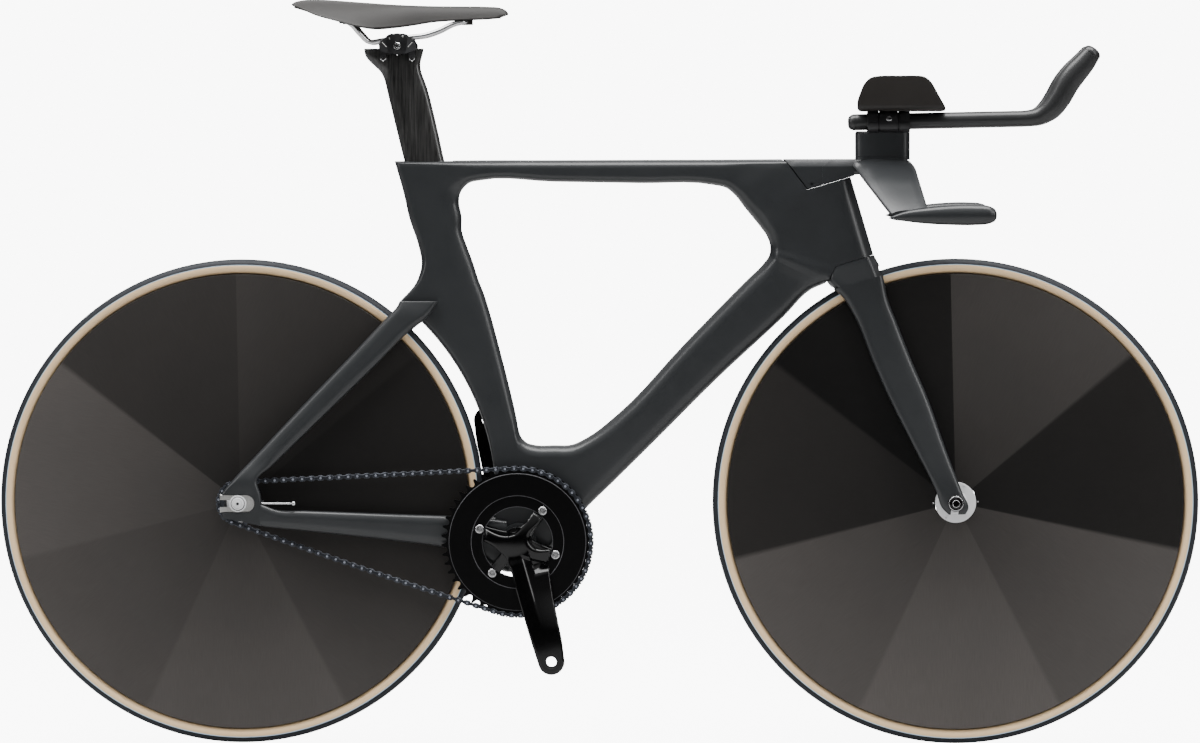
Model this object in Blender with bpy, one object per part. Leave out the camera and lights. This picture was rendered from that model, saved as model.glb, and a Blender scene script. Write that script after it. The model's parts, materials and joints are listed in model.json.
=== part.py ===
# Track pursuit bicycle: aero frame, two disc wheels, fixed drive and a raised cockpit.
# Lengths are millimetres, and the meshes are scaled to metres as they are made.
# +X is forward, +Y is the rider's left, +Z is up. Shapes are written from the ground, midway between the axles,
# and stored from the middle of the rear axle, where a stand holds the bicycle.
from math import acos, asin, atan2, ceil, cos, degrees, hypot, pi, radians, sin, sqrt, tan

import bmesh
import bpy
from mathutils import Matrix, Vector

MM = 0.001
GAP = 0.3

# Wheels
WHEEL_RADIUS = 334.4
TYRE_SPACING = 316.0
TYRE_HEIGHT = 21.0
TYRE_WIDTH = 21.0
RIM_HEIGHT = 17.0
RIM_WIDTH = 21.4
DISC_WALL = 1.2
FRONT_DISC_HUB_HALF = 31.0
REAR_DISC_HUB_HALF = 27.0
DISC_HUB_RADIUS = 28.2
HUB_BARREL_RADIUS = 14.0
WHEEL_SEGMENTS = 48

# Axles and fork ends
FRONT_HUB_SPACING = 100.0
HUB_END_TO_CHAIN = 16.5
AXLE_RADIUS = 4.7
LOCKNUT_RADIUS = 8.5
AXLE_BOLT_RADIUS = 10.9
AXLE_BOLT_HEAD = 8.0
AXLE_SCREW_RADIUS = 3.0
DROPOUT_THICKNESS = 6.5
DROPOUT_HEIGHT = 24.6
DROPOUT_REACH = 25.0
TENSIONER_LENGTH = 68.0
TENSIONER_RADIUS = 1.4
TENSIONER_BALL = 3.2

# Drive
CHAIN_PITCH = 12.7
RING_TEETH = 50
COG_TEETH = 14
SHELL_BEHIND_TYRE = 52.1
CHAIN_SAG_ANGLE = 1.4
SHELL_END_TO_CHAIN = 9.5
TOOTH_THICKNESS = 2.9
TOOTH_DEPTH = 8.0
CHAIN_INNER_HALF = 2.0
CHAIN_PLATE = 1.2
PLATE_HALF_HEIGHT = 4.2
ROLLER_HALF_SIDE = 2.7
RING_FACE_RADIUS = 94.3
RING_STEP_RADIUS = 63.6
RING_OPENING_RADIUS = 48.2
RING_FACE_RISE = 3.2
RING_STEP_RISE = 1.6
COG_BORE = 17.5
BB_DROP = 53.8
BB_SHELL_RADIUS = 24.5
BB_SHELL_WIDTH = 68.0
BB_CUP_RADIUS = 20.5
BB_CUP_FLANGE = 3.6
BB_BARREL_RADIUS = 17.0
SPINDLE_RADIUS = 12.0
CRANK_LENGTH = 170.0
CRANK_ANGLE = -73.9
CHAIN_TO_CRANK_FACE = 28.0
CRANK_END_RADIUS = 18.0
CRANK_ROOT_HALF = 26.0
CRANK_THICKNESS = 13.0
PEDAL_HOLE_RADIUS = 7.15
BOLT_CIRCLE_RADIUS = 55.0
BOLT_SPREAD = (55.2, 125.0, -125.0, -55.2)
RING_BOLT_RADIUS = 6.3

# Steering
HEAD_ANGLE = 73.6
FORK_RAKE = 36.0
CROWN_RISE = 23.4
HEAD_TUBE_LENGTH = 111.4
HEAD_NOSE = 24.0
HEAD_HALF_WIDTH = 22.0
SEAM_GAP = 1.5
UPPER_CONE = ((0.0, 38.1), (50.6, 59.8), (62.0, 64.7))
LOWER_CONE = ((0.0, 37.2), (-12.6, 48.2), (-19.2, 51.6))
BEARING_RADIUS = 18.5
BEARING_HEIGHT = 7.0
STEERER_RADIUS = 12.7
TYRE_CLEARANCE = 6.5
FORK_SLOT_HALF = 14.5

# Frame tubes
SEAT_ANGLE = 75.5
SEAT_SETBACK = 21.85
STEM_RISE = 30.65
CUTOUT_CLEARANCE = 16.9
SEAT_TUBE_HALF_WIDTH = 13.8
BB_HALF_WIDTH = 16.5
DOWN_TUBE_HALF_WIDTH = 18.5
TOP_TUBE_HALF_WIDTH = 16.0
STAY_HALF_THICKNESS = 7.0

# Seat
POST_CHORD = 55.5
POST_HALF_WIDTH = 9.3
POST_INSERTION = 78.0
POST_HEIGHT = 151.5
CLAMP_BARREL_RADIUS = 15.0
RAIL_RADIUS = 3.5
RAIL_SPREAD = 22.0
SADDLE_LENGTH = 297.0
SADDLE_WIDTH = 132.0
SADDLE_PAD = 9.0
SADDLE_SHELL = 2.6

# Cockpit
BAR_HALF_SPAN = 190.0
BAR_THICKNESS = 19.0
BAR_FLAT_HALF = 64.0
HORN_HALF_HEIGHT = 13.8
HORN_HALF_WIDTH = 13.0
RISER_HEIGHT = 35.7
RISER_HALF_WIDTH = 11.5
EXTENSION_SPREAD = 48.0
EXTENSION_RADIUS = 11.1
EXTENSION_SLOPE = 1.1
CLAMP_LENGTH = 58.0
CLAMP_HALF_WIDTH = 15.5
CLAMP_WALL = 2.6
CUP_LENGTH = 118.5
CUP_HEIGHT = 48.0
CUP_WIDTH = 84.0
CUP_WALL = 3.5
PAD_THICKNESS = 8.0

# Datum points and lines, as (x, z) in the bicycle's middle plane
WHEELBASE = 2 * WHEEL_RADIUS + TYRE_SPACING
CHAINSTAY_NOMINAL = WHEEL_RADIUS + SHELL_BEHIND_TYRE
LOWER_SEAM = WHEEL_RADIUS + CROWN_RISE
UPPER_SEAM = LOWER_SEAM + HEAD_TUBE_LENGTH
CHAIN_LINE = BB_SHELL_WIDTH / 2 + SHELL_END_TO_CHAIN
REAR_HUB_SPACING = 2 * (CHAIN_LINE + HUB_END_TO_CHAIN)
CRANK_OUTER = CHAIN_LINE + CHAIN_TO_CRANK_FACE
REAR_AXLE = (-WHEELBASE / 2, WHEEL_RADIUS)
FRONT_AXLE = (WHEELBASE / 2, WHEEL_RADIUS)
ORIGIN = Vector((REAR_AXLE[0], 0.0, REAR_AXLE[1]))
AXIS_UP = (-cos(radians(HEAD_ANGLE)), sin(radians(HEAD_ANGLE)))
AXIS_FORWARD = (sin(radians(HEAD_ANGLE)), cos(radians(HEAD_ANGLE)))
AXIS_FOOT = (FRONT_AXLE[0] - FORK_RAKE * AXIS_FORWARD[0], FRONT_AXLE[1] - FORK_RAKE * AXIS_FORWARD[1])
FRAME_TOP = AXIS_FOOT[1] + AXIS_UP[1] * UPPER_SEAM + STEM_RISE

ROUNDING = tuple(radians(angle) for angle in (0, 35, 65, 90))

for leftover in list(bpy.data.objects):
    bpy.data.objects.remove(leftover, do_unlink=True)


# Finishes
def finish(name, colour, roughness, metallic=0.0):
    made = bpy.data.materials.new(name)
    made.use_nodes = True
    shader = made.node_tree.nodes["Principled BSDF"]
    shader.inputs["Base Color"].default_value = (*colour, 1.0)
    shader.inputs["Roughness"].default_value = roughness
    shader.inputs["Metallic"].default_value = metallic
    made.diffuse_color = (*colour, 1.0)
    return made


PAINT = finish("satin_carbon_paint", (0.030, 0.033, 0.036), 0.42)
BARE_CARBON = finish("bare_carbon", (0.018, 0.016, 0.015), 0.30)
DISC_CARBON = finish("disc_carbon", (0.045, 0.039, 0.037), 0.45)
GLOSS_BLACK = finish("gloss_black", (0.006, 0.006, 0.007), 0.16, 0.3)
SILVER = finish("silver_alloy", (0.72, 0.72, 0.73), 0.28, 1.0)
STEEL = finish("dark_steel", (0.05, 0.055, 0.075), 0.35, 1.0)
RUBBER = finish("tyre_rubber", (0.55, 0.42, 0.28), 0.75)
BLACK_ALLOY = finish("black_alloy", (0.02, 0.02, 0.021), 0.4, 0.6)
LEATHER = finish("saddle_cover", (0.035, 0.033, 0.032), 0.55)
FOAM = finish("foam_pad", (0.02, 0.019, 0.018), 0.9)


# Joint axes, as empties that the moving pieces hang from
def pivot(name, x, y, z, parent=None):
    empty = bpy.data.objects.new(name, None)
    bpy.context.scene.collection.objects.link(empty)
    empty["place"] = (x, y, z)
    base = parent["place"] if parent else ORIGIN
    empty.location = [(a - b) * MM for a, b in zip((x, y, z), base)]
    empty.parent = parent
    return empty


# Mesh helpers
def add_object(name, bm, material, parent=None, sharp=35.0):
    base = Vector(parent["place"]) if parent else ORIGIN
    bmesh.ops.recalc_face_normals(bm, faces=bm.faces)
    bmesh.ops.transform(bm, verts=bm.verts, matrix=Matrix.Scale(MM, 4) @ Matrix.Translation(-base))
    mesh = bpy.data.meshes.new(name)
    bm.to_mesh(mesh)
    bm.free()
    mesh.materials.append(material)
    mesh.shade_smooth()
    mesh.set_sharp_from_angle(angle=radians(sharp))
    obj = bpy.data.objects.new(name, mesh)
    bpy.context.scene.collection.objects.link(obj)
    obj.parent = parent
    return obj


def boolean(obj, tool, operation="DIFFERENCE"):
    modifier = obj.modifiers.new(operation.lower(), "BOOLEAN")
    modifier.operation = operation
    modifier.solver = "EXACT"
    modifier.object = tool
    tool.hide_render = True
    tool.display_type = "WIRE"
    return obj


def helper(name, bm):
    return add_object("tool_" + name, bm, PAINT)


def loft(rings, closed=False):
    bm = bmesh.new()
    loops = [[bm.verts.new(point) for point in ring] for ring in rings]
    pairs = list(zip(loops, loops[1:]))
    if closed:
        pairs.append((loops[-1], loops[0]))
    for first, second in pairs:
        for i in range(len(first)):
            j = (i + 1) % len(first)
            bm.faces.new((first[i], first[j], second[j], second[i]))
    if not closed:
        bm.faces.new(loops[0])
        bm.faces.new(loops[-1])
    return bm


def join(*parts):
    whole = bmesh.new()
    for part in parts:
        mesh = bpy.data.meshes.new("part")
        part.to_mesh(mesh)
        part.free()
        whole.from_mesh(mesh)
        bpy.data.meshes.remove(mesh)
    return whole


def turn(profile, centre, axis=(0.0, 1.0, 0.0), segments=24):
    # The profile is a list of (radius, distance along the axis), closed unless it starts on the axis
    axis = Vector(axis).normalized()
    across = axis.orthogonal().normalized()
    other = axis.cross(across)
    bm = bmesh.new()
    rows = []
    for radius, along in profile:
        middle = Vector(centre) + axis * along
        if radius == 0:
            rows.append([bm.verts.new(middle)] * segments)
            continue
        angles = [2 * pi * i / segments for i in range(segments)]
        rows.append([bm.verts.new(middle + (across * cos(t) + other * sin(t)) * radius) for t in angles])
    pairs = list(zip(rows, rows[1:]))
    if profile[0][0] > 0:
        pairs.append((rows[-1], rows[0]))
    for first, second in pairs:
        for i in range(segments):
            j = (i + 1) % segments
            corners = dict.fromkeys((first[i], first[j], second[j], second[i]))
            if len(corners) > 2:
                bm.faces.new(corners)
    return bm


def rod(start, end, radius, segments=16):
    start, end = Vector(start), Vector(end)
    along = end - start
    return turn([(0, 0), (radius, 0), (radius, along.length), (0, along.length)], start, along, segments)


def hole(start, end, radius, segments=16):
    # A rod whose flats, and not its corners, lie at the radius
    return rod(start, end, radius / cos(pi / segments), segments)


def plate(loops, low, high):
    # Flat outlines in X and Z, the first with the rest as holes, made thick from y = low to y = high
    bm = bmesh.new()
    edges = []
    for points in loops:
        verts = [bm.verts.new((x, low, z)) for x, z in points]
        edges += [bm.edges.new((verts[i], verts[i - 1])) for i in range(len(verts))]
    bmesh.ops.triangle_fill(bm, use_beauty=True, use_dissolve=False, edges=edges)
    made = bmesh.ops.extrude_face_region(bm, geom=bm.faces[:])
    moved = [item for item in made["geom"] if isinstance(item, bmesh.types.BMVert)]
    bmesh.ops.translate(bm, verts=moved, vec=(0, high - low, 0))
    return bm


def box(low, high):
    corners = [(low[0], low[1]), (high[0], low[1]), (high[0], high[1]), (low[0], high[1])]
    return loft([[(x, y, z) for x, y in corners] for z in (low[2], high[2])])


def section(a, b, y, half, round_a, round_b):
    # A flat-sided ring with rounded ends, whose chord runs from a to b in X and Z
    length = hypot(b[0] - a[0], b[1] - a[1])
    ux, uz = (b[0] - a[0]) / length, (b[1] - a[1]) / length
    round_a = min(round_a, 0.45 * length)
    round_b = min(round_b, 0.45 * length)
    side = [(round_a * (1 - cos(t)), half * sin(t)) for t in ROUNDING]
    side += [(length - round_b * (1 - cos(t)), half * sin(t)) for t in reversed(ROUNDING)]
    ring = side + [(c, -h) for c, h in reversed(side[1:-1])]
    return [(a[0] + ux * c, y + h, a[1] + uz * c) for c, h in ring]


def slice_ring(rear, front, z, y, half, round_rear, round_front):
    return section((rear, z), (front, z), y, half, round_rear, round_front)


def ellipse(centre, half_y, half_z, count=12):
    # An upright ring across X
    x, y, z = centre
    return [(x, y + half_y * cos(2 * pi * i / count), z + half_z * sin(2 * pi * i / count)) for i in range(count)]


def tube(points, radii, sides=10, closed=False):
    # Rings square to a path of points, carried along without twist
    points = [Vector(point) for point in points]
    rings = []
    normal = None
    for i, point in enumerate(points):
        before = points[i - 1] if i or closed else point
        after = points[(i + 1) % len(points)] if i + 1 < len(points) or closed else point
        along = (after - before).normalized()
        normal = along.orthogonal() if normal is None else normal - along * normal.dot(along)
        normal.normalize()
        binormal = along.cross(normal)
        ring = []
        for k in range(sides):
            angle = 2 * pi * k / sides
            ring.append(point + (normal * cos(angle) + binormal * sin(angle)) * radii[i])
        rings.append(ring)
    return loft(rings, closed)



def steer(along, forward):
    # A point given along the steering axis and forward of it
    return (AXIS_FOOT[0] + AXIS_UP[0] * along + AXIS_FORWARD[0] * forward,
            AXIS_FOOT[1] + AXIS_UP[1] * along + AXIS_FORWARD[1] * forward)


def steer3(along):
    x, z = steer(along, 0)
    return (x, 0.0, z)


AXIS3 = (AXIS_UP[0], 0.0, AXIS_UP[1])


def turn_steering(profile, segments=26):
    return turn(profile, (AXIS_FOOT[0], 0.0, AXIS_FOOT[1]), AXIS3, segments)


# Chain layout: both pitch circles, a straight upper run and a lower run that sags a little
RING_PITCH_RADIUS = CHAIN_PITCH / (2 * sin(pi / RING_TEETH))
COG_PITCH_RADIUS = CHAIN_PITCH / (2 * sin(pi / COG_TEETH))


def chain_counts():
    # Links of the upper run, round the ring, round the cog and of the lower run: an even number in all
    lean = asin((RING_PITCH_RADIUS - COG_PITCH_RADIUS) / CHAINSTAY_NOMINAL)
    tangent = sqrt(CHAINSTAY_NOMINAL ** 2 - (RING_PITCH_RADIUS - COG_PITCH_RADIUS) ** 2)
    length = 2 * tangent + (pi + 2 * lean) * RING_PITCH_RADIUS + (pi - 2 * lean) * COG_PITCH_RADIUS
    upper = round(tangent / CHAIN_PITCH)
    ring = round((pi + 2 * lean) * RING_TEETH / (2 * pi))
    cog = round((pi - 2 * lean) * COG_TEETH / (2 * pi))
    total = 2 * round(length / (2 * CHAIN_PITCH))
    return upper, ring, cog, total - upper - ring - cog


UPPER_LINKS, RING_LINKS, COG_LINKS, LOWER_LINKS = chain_counts()


def chain_layout(centre_distance):
    # Pins in a frame with the cog at (0, 0) and the ring at (centre distance, 0), and the slack left over
    lean = asin((RING_PITCH_RADIUS - COG_PITCH_RADIUS) / centre_distance)
    tangent = sqrt(centre_distance ** 2 - (RING_PITCH_RADIUS - COG_PITCH_RADIUS) ** 2)
    reach = UPPER_LINKS * CHAIN_PITCH
    cog_start = pi / 2 + lean + 0.5 * (reach - tangent) / COG_PITCH_RADIUS
    ax, az = COG_PITCH_RADIUS * cos(cog_start), COG_PITCH_RADIUS * sin(cog_start)
    # The ring's first pin lies where circles round the first pin and round the ring meet
    dx, dz = centre_distance - ax, -az
    span = hypot(dx, dz)
    swing = acos((reach ** 2 + span ** 2 - RING_PITCH_RADIUS ** 2) / (2 * reach * span))
    heading = atan2(dz, dx) + swing
    bx, bz = ax + reach * cos(heading), az + reach * sin(heading)
    ring_start = atan2(bz, bx - centre_distance)
    upper = [(ax + (bx - ax) * i / UPPER_LINKS, az + (bz - az) * i / UPPER_LINKS) for i in range(UPPER_LINKS)]
    ring = []
    for i in range(RING_LINKS + 1):
        angle = ring_start - 2 * pi * i / RING_TEETH
        ring.append((centre_distance + RING_PITCH_RADIUS * cos(angle), RING_PITCH_RADIUS * sin(angle)))
    cog = []
    for i in range(COG_LINKS + 1):
        angle = cog_start + 2 * pi * i / COG_TEETH
        cog.append((COG_PITCH_RADIUS * cos(angle), COG_PITCH_RADIUS * sin(angle)))
    gap = hypot(cog[-1][0] - ring[-1][0], cog[-1][1] - ring[-1][1])
    return upper, ring, cog, LOWER_LINKS * CHAIN_PITCH - gap, ring_start, cog_start


def solve_chainstay():
    # The axle slides back in its slot until the lower run has just its sag
    per_link = radians(2 * CHAIN_SAG_ANGLE) / LOWER_LINKS
    target = CHAIN_PITCH * (LOWER_LINKS - sin(LOWER_LINKS * per_link / 2) / sin(per_link / 2))
    low, high = CHAINSTAY_NOMINAL - 8.0, CHAINSTAY_NOMINAL + 8.0
    for _ in range(60):
        middle = (low + high) / 2
        if chain_layout(middle)[3] > target:
            low = middle
        else:
            high = middle
    return low


CHAINSTAY_LENGTH = solve_chainstay()
BB = (REAR_AXLE[0] + sqrt(CHAINSTAY_LENGTH ** 2 - BB_DROP ** 2), REAR_AXLE[1] - BB_DROP)
STAY_SLOPE = atan2(BB[1] - REAR_AXLE[1], BB[0] - REAR_AXLE[0])


def chain_pins():
    upper, ring, cog, slack, ring_start, cog_start = chain_layout(CHAINSTAY_LENGTH)
    start, end = ring[-1], cog[-1]
    heading = atan2(end[1] - start[1], end[0] - start[0])
    low, high = 1e-7, radians(20) / LOWER_LINKS
    for _ in range(60):
        per_link = (low + high) / 2
        chord = CHAIN_PITCH * sin(LOWER_LINKS * per_link / 2) / sin(per_link / 2)
        if chord > LOWER_LINKS * CHAIN_PITCH - slack:
            low = per_link
        else:
            high = per_link
    angle = heading + per_link * (LOWER_LINKS - 1) / 2
    lower = [start]
    for _ in range(LOWER_LINKS - 1):
        x, z = lower[-1]
        lower.append((x + CHAIN_PITCH * cos(angle), z + CHAIN_PITCH * sin(angle)))
        angle -= per_link
    turned = []
    for x, z in upper + ring[:-1] + lower + cog[:0:-1]:
        turned.append((REAR_AXLE[0] + x * cos(STAY_SLOPE) - z * sin(STAY_SLOPE),
                       REAR_AXLE[1] + x * sin(STAY_SLOPE) + z * cos(STAY_SLOPE)))
    return turned, ring_start + STAY_SLOPE, cog_start + STAY_SLOPE


CHAIN_PINS, RING_PHASE, COG_PHASE = chain_pins()

# Joint axes
steering = pivot("steering_axis", *steer3(LOWER_SEAM))
front_spin = pivot("front_wheel_axis", FRONT_AXLE[0], 0.0, FRONT_AXLE[1], steering)
rear_spin = pivot("rear_wheel_axis", REAR_AXLE[0], 0.0, REAR_AXLE[1])
crank_spin = pivot("crank_axis", BB[0], 0.0, BB[1])


def from_bb(x, z):
    return (BB[0] + x, BB[1] + z)


def from_head(x, z):
    # Offsets from the middle of the head tube, on the steering axis
    middle = steer((LOWER_SEAM + UPPER_SEAM) / 2, 0)
    return (middle[0] + x, middle[1] + z)


def cutout(z_above_axle, extra=0.0):
    # A point of the seat tube's rear edge, which follows the tyre
    radius = WHEEL_RADIUS + CUTOUT_CLEARANCE + extra
    return (REAR_AXLE[0] + sqrt(radius ** 2 - z_above_axle ** 2), REAR_AXLE[1] + z_above_axle)


# Seat post line: its rear edge where it leaves the frame, on a line that leans back from the bottom bracket
POST_REAR_AT_TOP = (BB[0] - SEAT_SETBACK - (FRAME_TOP - BB[1]) / tan(radians(SEAT_ANGLE)), FRAME_TOP)


def post_rear(z):
    return POST_REAR_AT_TOP[0] - (z - POST_REAR_AT_TOP[1]) / tan(radians(SEAT_ANGLE))


# Frame: rings round the main triangle, each with its inner point, outer point, half width and roundings
def frame_stations():
    seat, top, head = SEAT_TUBE_HALF_WIDTH, TOP_TUBE_HALF_WIDTH, HEAD_HALF_WIDTH
    down, bottom = DOWN_TUBE_HALF_WIDTH, BB_HALF_WIDTH
    sx = post_rear(FRAME_TOP)
    t = FRAME_TOP
    front_top = (steer(UPPER_SEAM + 26.1, HEAD_NOSE)[0], t + 1.0)
    return [
        ((sx + 79.3, t - 78.1), (sx + 6.4, t - 78.1), seat, 26, 10),
        ((sx + 76.1, t - 53.5), (sx + 0.3, t - 50.0), seat, 24, 10),
        ((sx + 77.6, t - 46.5), (sx - 13.3, t - 1.1), seat, 20, 6),
        ((sx + 80.5, t - 43.5), (sx + 24.0, t - 0.6), seat + 0.4, 16, 5),
        ((sx + 88.0, t - 35.0), (sx + 62.0, t - 0.3), seat + 1.0, 10, 5),
        ((sx + 105.3, t - 28.0), (sx + 98.0, t), top - 0.6, 9, 5),
        ((sx + 206.5, t - 30.0), (sx + 206.0, t), top, 9, 5),
        ((sx + 325.0, t - 32.1), (sx + 325.0, t + 0.3), top + 0.6, 9, 5),
        (from_head(-181.3, 49.3), (from_head(-167.3, 0.0)[0], t + 0.5), top + 2.0, 10, 5),
        (from_head(-164.3, 45.4), (from_head(-119.3, 0.0)[0], t + 0.8), head - 3.0, 12, 6),
        (from_head(-151.0, 33.5), (from_head(-79.3, 0.0)[0], t + 1.0), head - 1.0, 14, 8),
        (from_head(-139.0, 19.0), front_top, head, 16, 12),
        (from_head(-118.0, -6.0), steer(UPPER_SEAM - 29.2, HEAD_NOSE), head, 18, 14),
        (from_head(-109.3, -19.8), steer(LOWER_SEAM + 34.2, HEAD_NOSE), head, 18, 14),
        (from_head(-103.1, -35.8), steer(LOWER_SEAM - 27.8, HEAD_NOSE), head, 18, 14),
        (from_head(-104.2, -48.5), steer(LOWER_SEAM - 19.2, -51.3), head - 0.5, 18, 12),
        (from_head(-112.6, -57.7), steer(LOWER_SEAM - 21.8, -71.5), head - 2.0, 18, 12),
        (from_head(-134.0, -80.0), from_head(-83.0, -130.2), down + 1.0, 18, 14),
        (from_bb(227.0, 269.0), from_bb(276.1, 225.2), down, 18, 16),
        (from_bb(137.8, 175.0), from_bb(186.0, 135.3), down, 18, 16),
        (from_bb(88.1, 138.0), from_bb(130.0, 80.0), down, 16, 16),
        (from_bb(74.6, 128.3), from_bb(88.0, 38.6), down, 16, 16),
        (from_bb(48.0, 128.3), from_bb(46.0, -3.0), down - 0.5, 16, 14),
        (from_bb(22.2, 128.3), from_bb(14.0, -27.0), bottom + 1.0, 16, 12),
        (from_bb(10.5, 132.2), from_bb(-20.0, -28.0), bottom + 0.5, 16, 10),
        (from_bb(3.0, 140.0), cutout(-72.4), bottom, 18, 8),
        (from_bb(-0.5, 148.1), cutout(-30.0), bottom, 20, 8),
        (from_bb(-4.0, 165.0), cutout(15.0), bottom - 0.5, 22, 8),
        (from_bb(-7.9, 183.0), cutout(66.0), bottom - 1.0, 24, 8),
        (from_bb(-18.5, 220.0), cutout(116.0), seat + 0.8, 26, 8),
        (from_bb(-28.8, 264.4), cutout(166.0), seat, 28, 8),
        (from_bb(-41.6, 312.8), cutout(216.0), seat, 28, 8),
        (from_bb(-50.0, 340.0), cutout(250.0), seat, 28, 7),
        (from_bb(-55.9, 358.3), cutout(275.5, 0.6), seat, 28, 5),
        (from_bb(-62.8, 381.4), (sx + 16.3, t - 168.3), seat, 28, 8),
        (from_bb(-69.5, 406.0), (sx + 23.7, t - 142.4), seat, 27, 10),
        (from_bb(-75.0, 428.0), (sx + 19.5, t - 118.0), seat, 26, 10),
    ]


def lower_cone_profile(gap):
    # Fork crown pocket: the plane seam, the cone behind it, and open below
    seam = LOWER_SEAM
    points = [(0, seam + gap)]
    points += [(radius + gap, seam + rise + (gap if rise == 0 else 0)) for rise, radius in LOWER_CONE]
    points += [(LOWER_CONE[-1][1] + gap, seam - 60), (0, seam - 60)]
    return points


def upper_cone_profile(gap, head_room=20.0):
    seam = UPPER_SEAM
    points = [(0, seam - gap)]
    points += [(radius + gap, seam + rise - (gap if rise == 0 else 0)) for rise, radius in UPPER_CONE]
    points += [(UPPER_CONE[-1][1] + gap, seam + UPPER_CONE[-1][0] + head_room)]
    points += [(0, seam + UPPER_CONE[-1][0] + head_room)]
    return points


def post_ring(z, grow=0.0):
    rear = post_rear(z) - grow
    return slice_ring(rear, post_rear(z) + POST_CHORD + grow, z, 0.0, POST_HALF_WIDTH + grow, 20, 14)


def main_frame():
    rings = [section(inner, outer, 0.0, half, round_in, round_out)
             for inner, outer, half, round_in, round_out in frame_stations()]
    frame = add_object("main_frame", loft(rings, closed=True), PAINT)
    half = BB_SHELL_WIDTH / 2
    shell = turn([(0, -half), (BB_SHELL_RADIUS, -half), (BB_SHELL_RADIUS, half), (0, half)],
                 (BB[0], 0, BB[1]), segments=24)
    boolean(frame, helper("bb_shell", shell), "UNION")
    bore = BB_BARREL_RADIUS + GAP
    boolean(frame, helper("bb_bore", hole((BB[0], -half - 9, BB[1]), (BB[0], half + 9, BB[1]), bore, 20)))
    boolean(frame, helper("lower_pocket", turn_steering(lower_cone_profile(0.0))))
    boolean(frame, helper("upper_pocket", turn_steering(upper_cone_profile(0.0))))
    seat = (BEARING_RADIUS + GAP) / cos(pi / 22)
    depth = BEARING_HEIGHT + GAP
    tube_bore = STEERER_RADIUS + 2.0
    head_bore = [(0, LOWER_SEAM - 8), (seat, LOWER_SEAM - 8), (seat, LOWER_SEAM + depth), (tube_bore, LOWER_SEAM + depth),
                 (tube_bore, UPPER_SEAM - depth), (seat, UPPER_SEAM - depth), (seat, UPPER_SEAM + 6),
                 (0, UPPER_SEAM + 6)]
    boolean(frame, helper("head_bore", turn_steering(head_bore, 22)))
    bottom = FRAME_TOP - POST_INSERTION - 12
    pocket = loft([post_ring(z, GAP) for z in (bottom, FRAME_TOP + 8)])
    boolean(frame, helper("post_pocket", pocket))
    boolean(frame, helper("wedge_pocket", wedge_body(GAP, 6.0)))
    return frame


# The wedge stands in front of the post and is drawn up by its bolt
WEDGE_DEPTH = 26.0
WEDGE_LENGTH = 12.0


def wedge_body(grow=0.0, above=0.0):
    def ring(z):
        front = post_rear(z) + POST_CHORD
        return [(front - 3 - grow, -5 - grow, z), (front + WEDGE_LENGTH + grow, -5 - grow, z),
                (front + WEDGE_LENGTH + grow, 5 + grow, z), (front - 3 - grow, 5 + grow, z)]
    return loft([ring(FRAME_TOP - WEDGE_DEPTH - grow), ring(FRAME_TOP - 1.2 + above)])


def seat_wedge():
    wedge = add_object("seat_wedge", wedge_body(), BLACK_ALLOY)
    clear = loft([post_ring(z, GAP) for z in (FRAME_TOP - 60, FRAME_TOP + 8)])
    boolean(wedge, helper("wedge_seat", clear))
    top = FRAME_TOP - 1.2
    x = post_rear(top) + POST_CHORD + 0.55 * WEDGE_LENGTH
    boolean(wedge, helper("wedge_socket", rod((x, 0, top - 5), (x, 0, top + 3), 2.2, 6)))


# Rear stays: one moulding a side, with the seat stay, the chain stay and the axle pocket
def dropout_outline(grow=0.0):
    half = DROPOUT_HEIGHT / 2 + grow
    nose = REAR_AXLE[0] + 11.0
    points = [(REAR_AXLE[0] - DROPOUT_REACH - (40.0 if grow else 0.0), REAR_AXLE[1] + half)]
    for i in range(9):
        angle = pi / 2 - pi * i / 8
        points.append((nose + half * cos(angle), REAR_AXLE[1] + half * sin(angle)))
    points.append((REAR_AXLE[0] - DROPOUT_REACH - (40.0 if grow else 0.0), REAR_AXLE[1] - half))
    return points


def from_rear(x, z):
    return (REAR_AXLE[0] + x, REAR_AXLE[1] + z)


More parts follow.
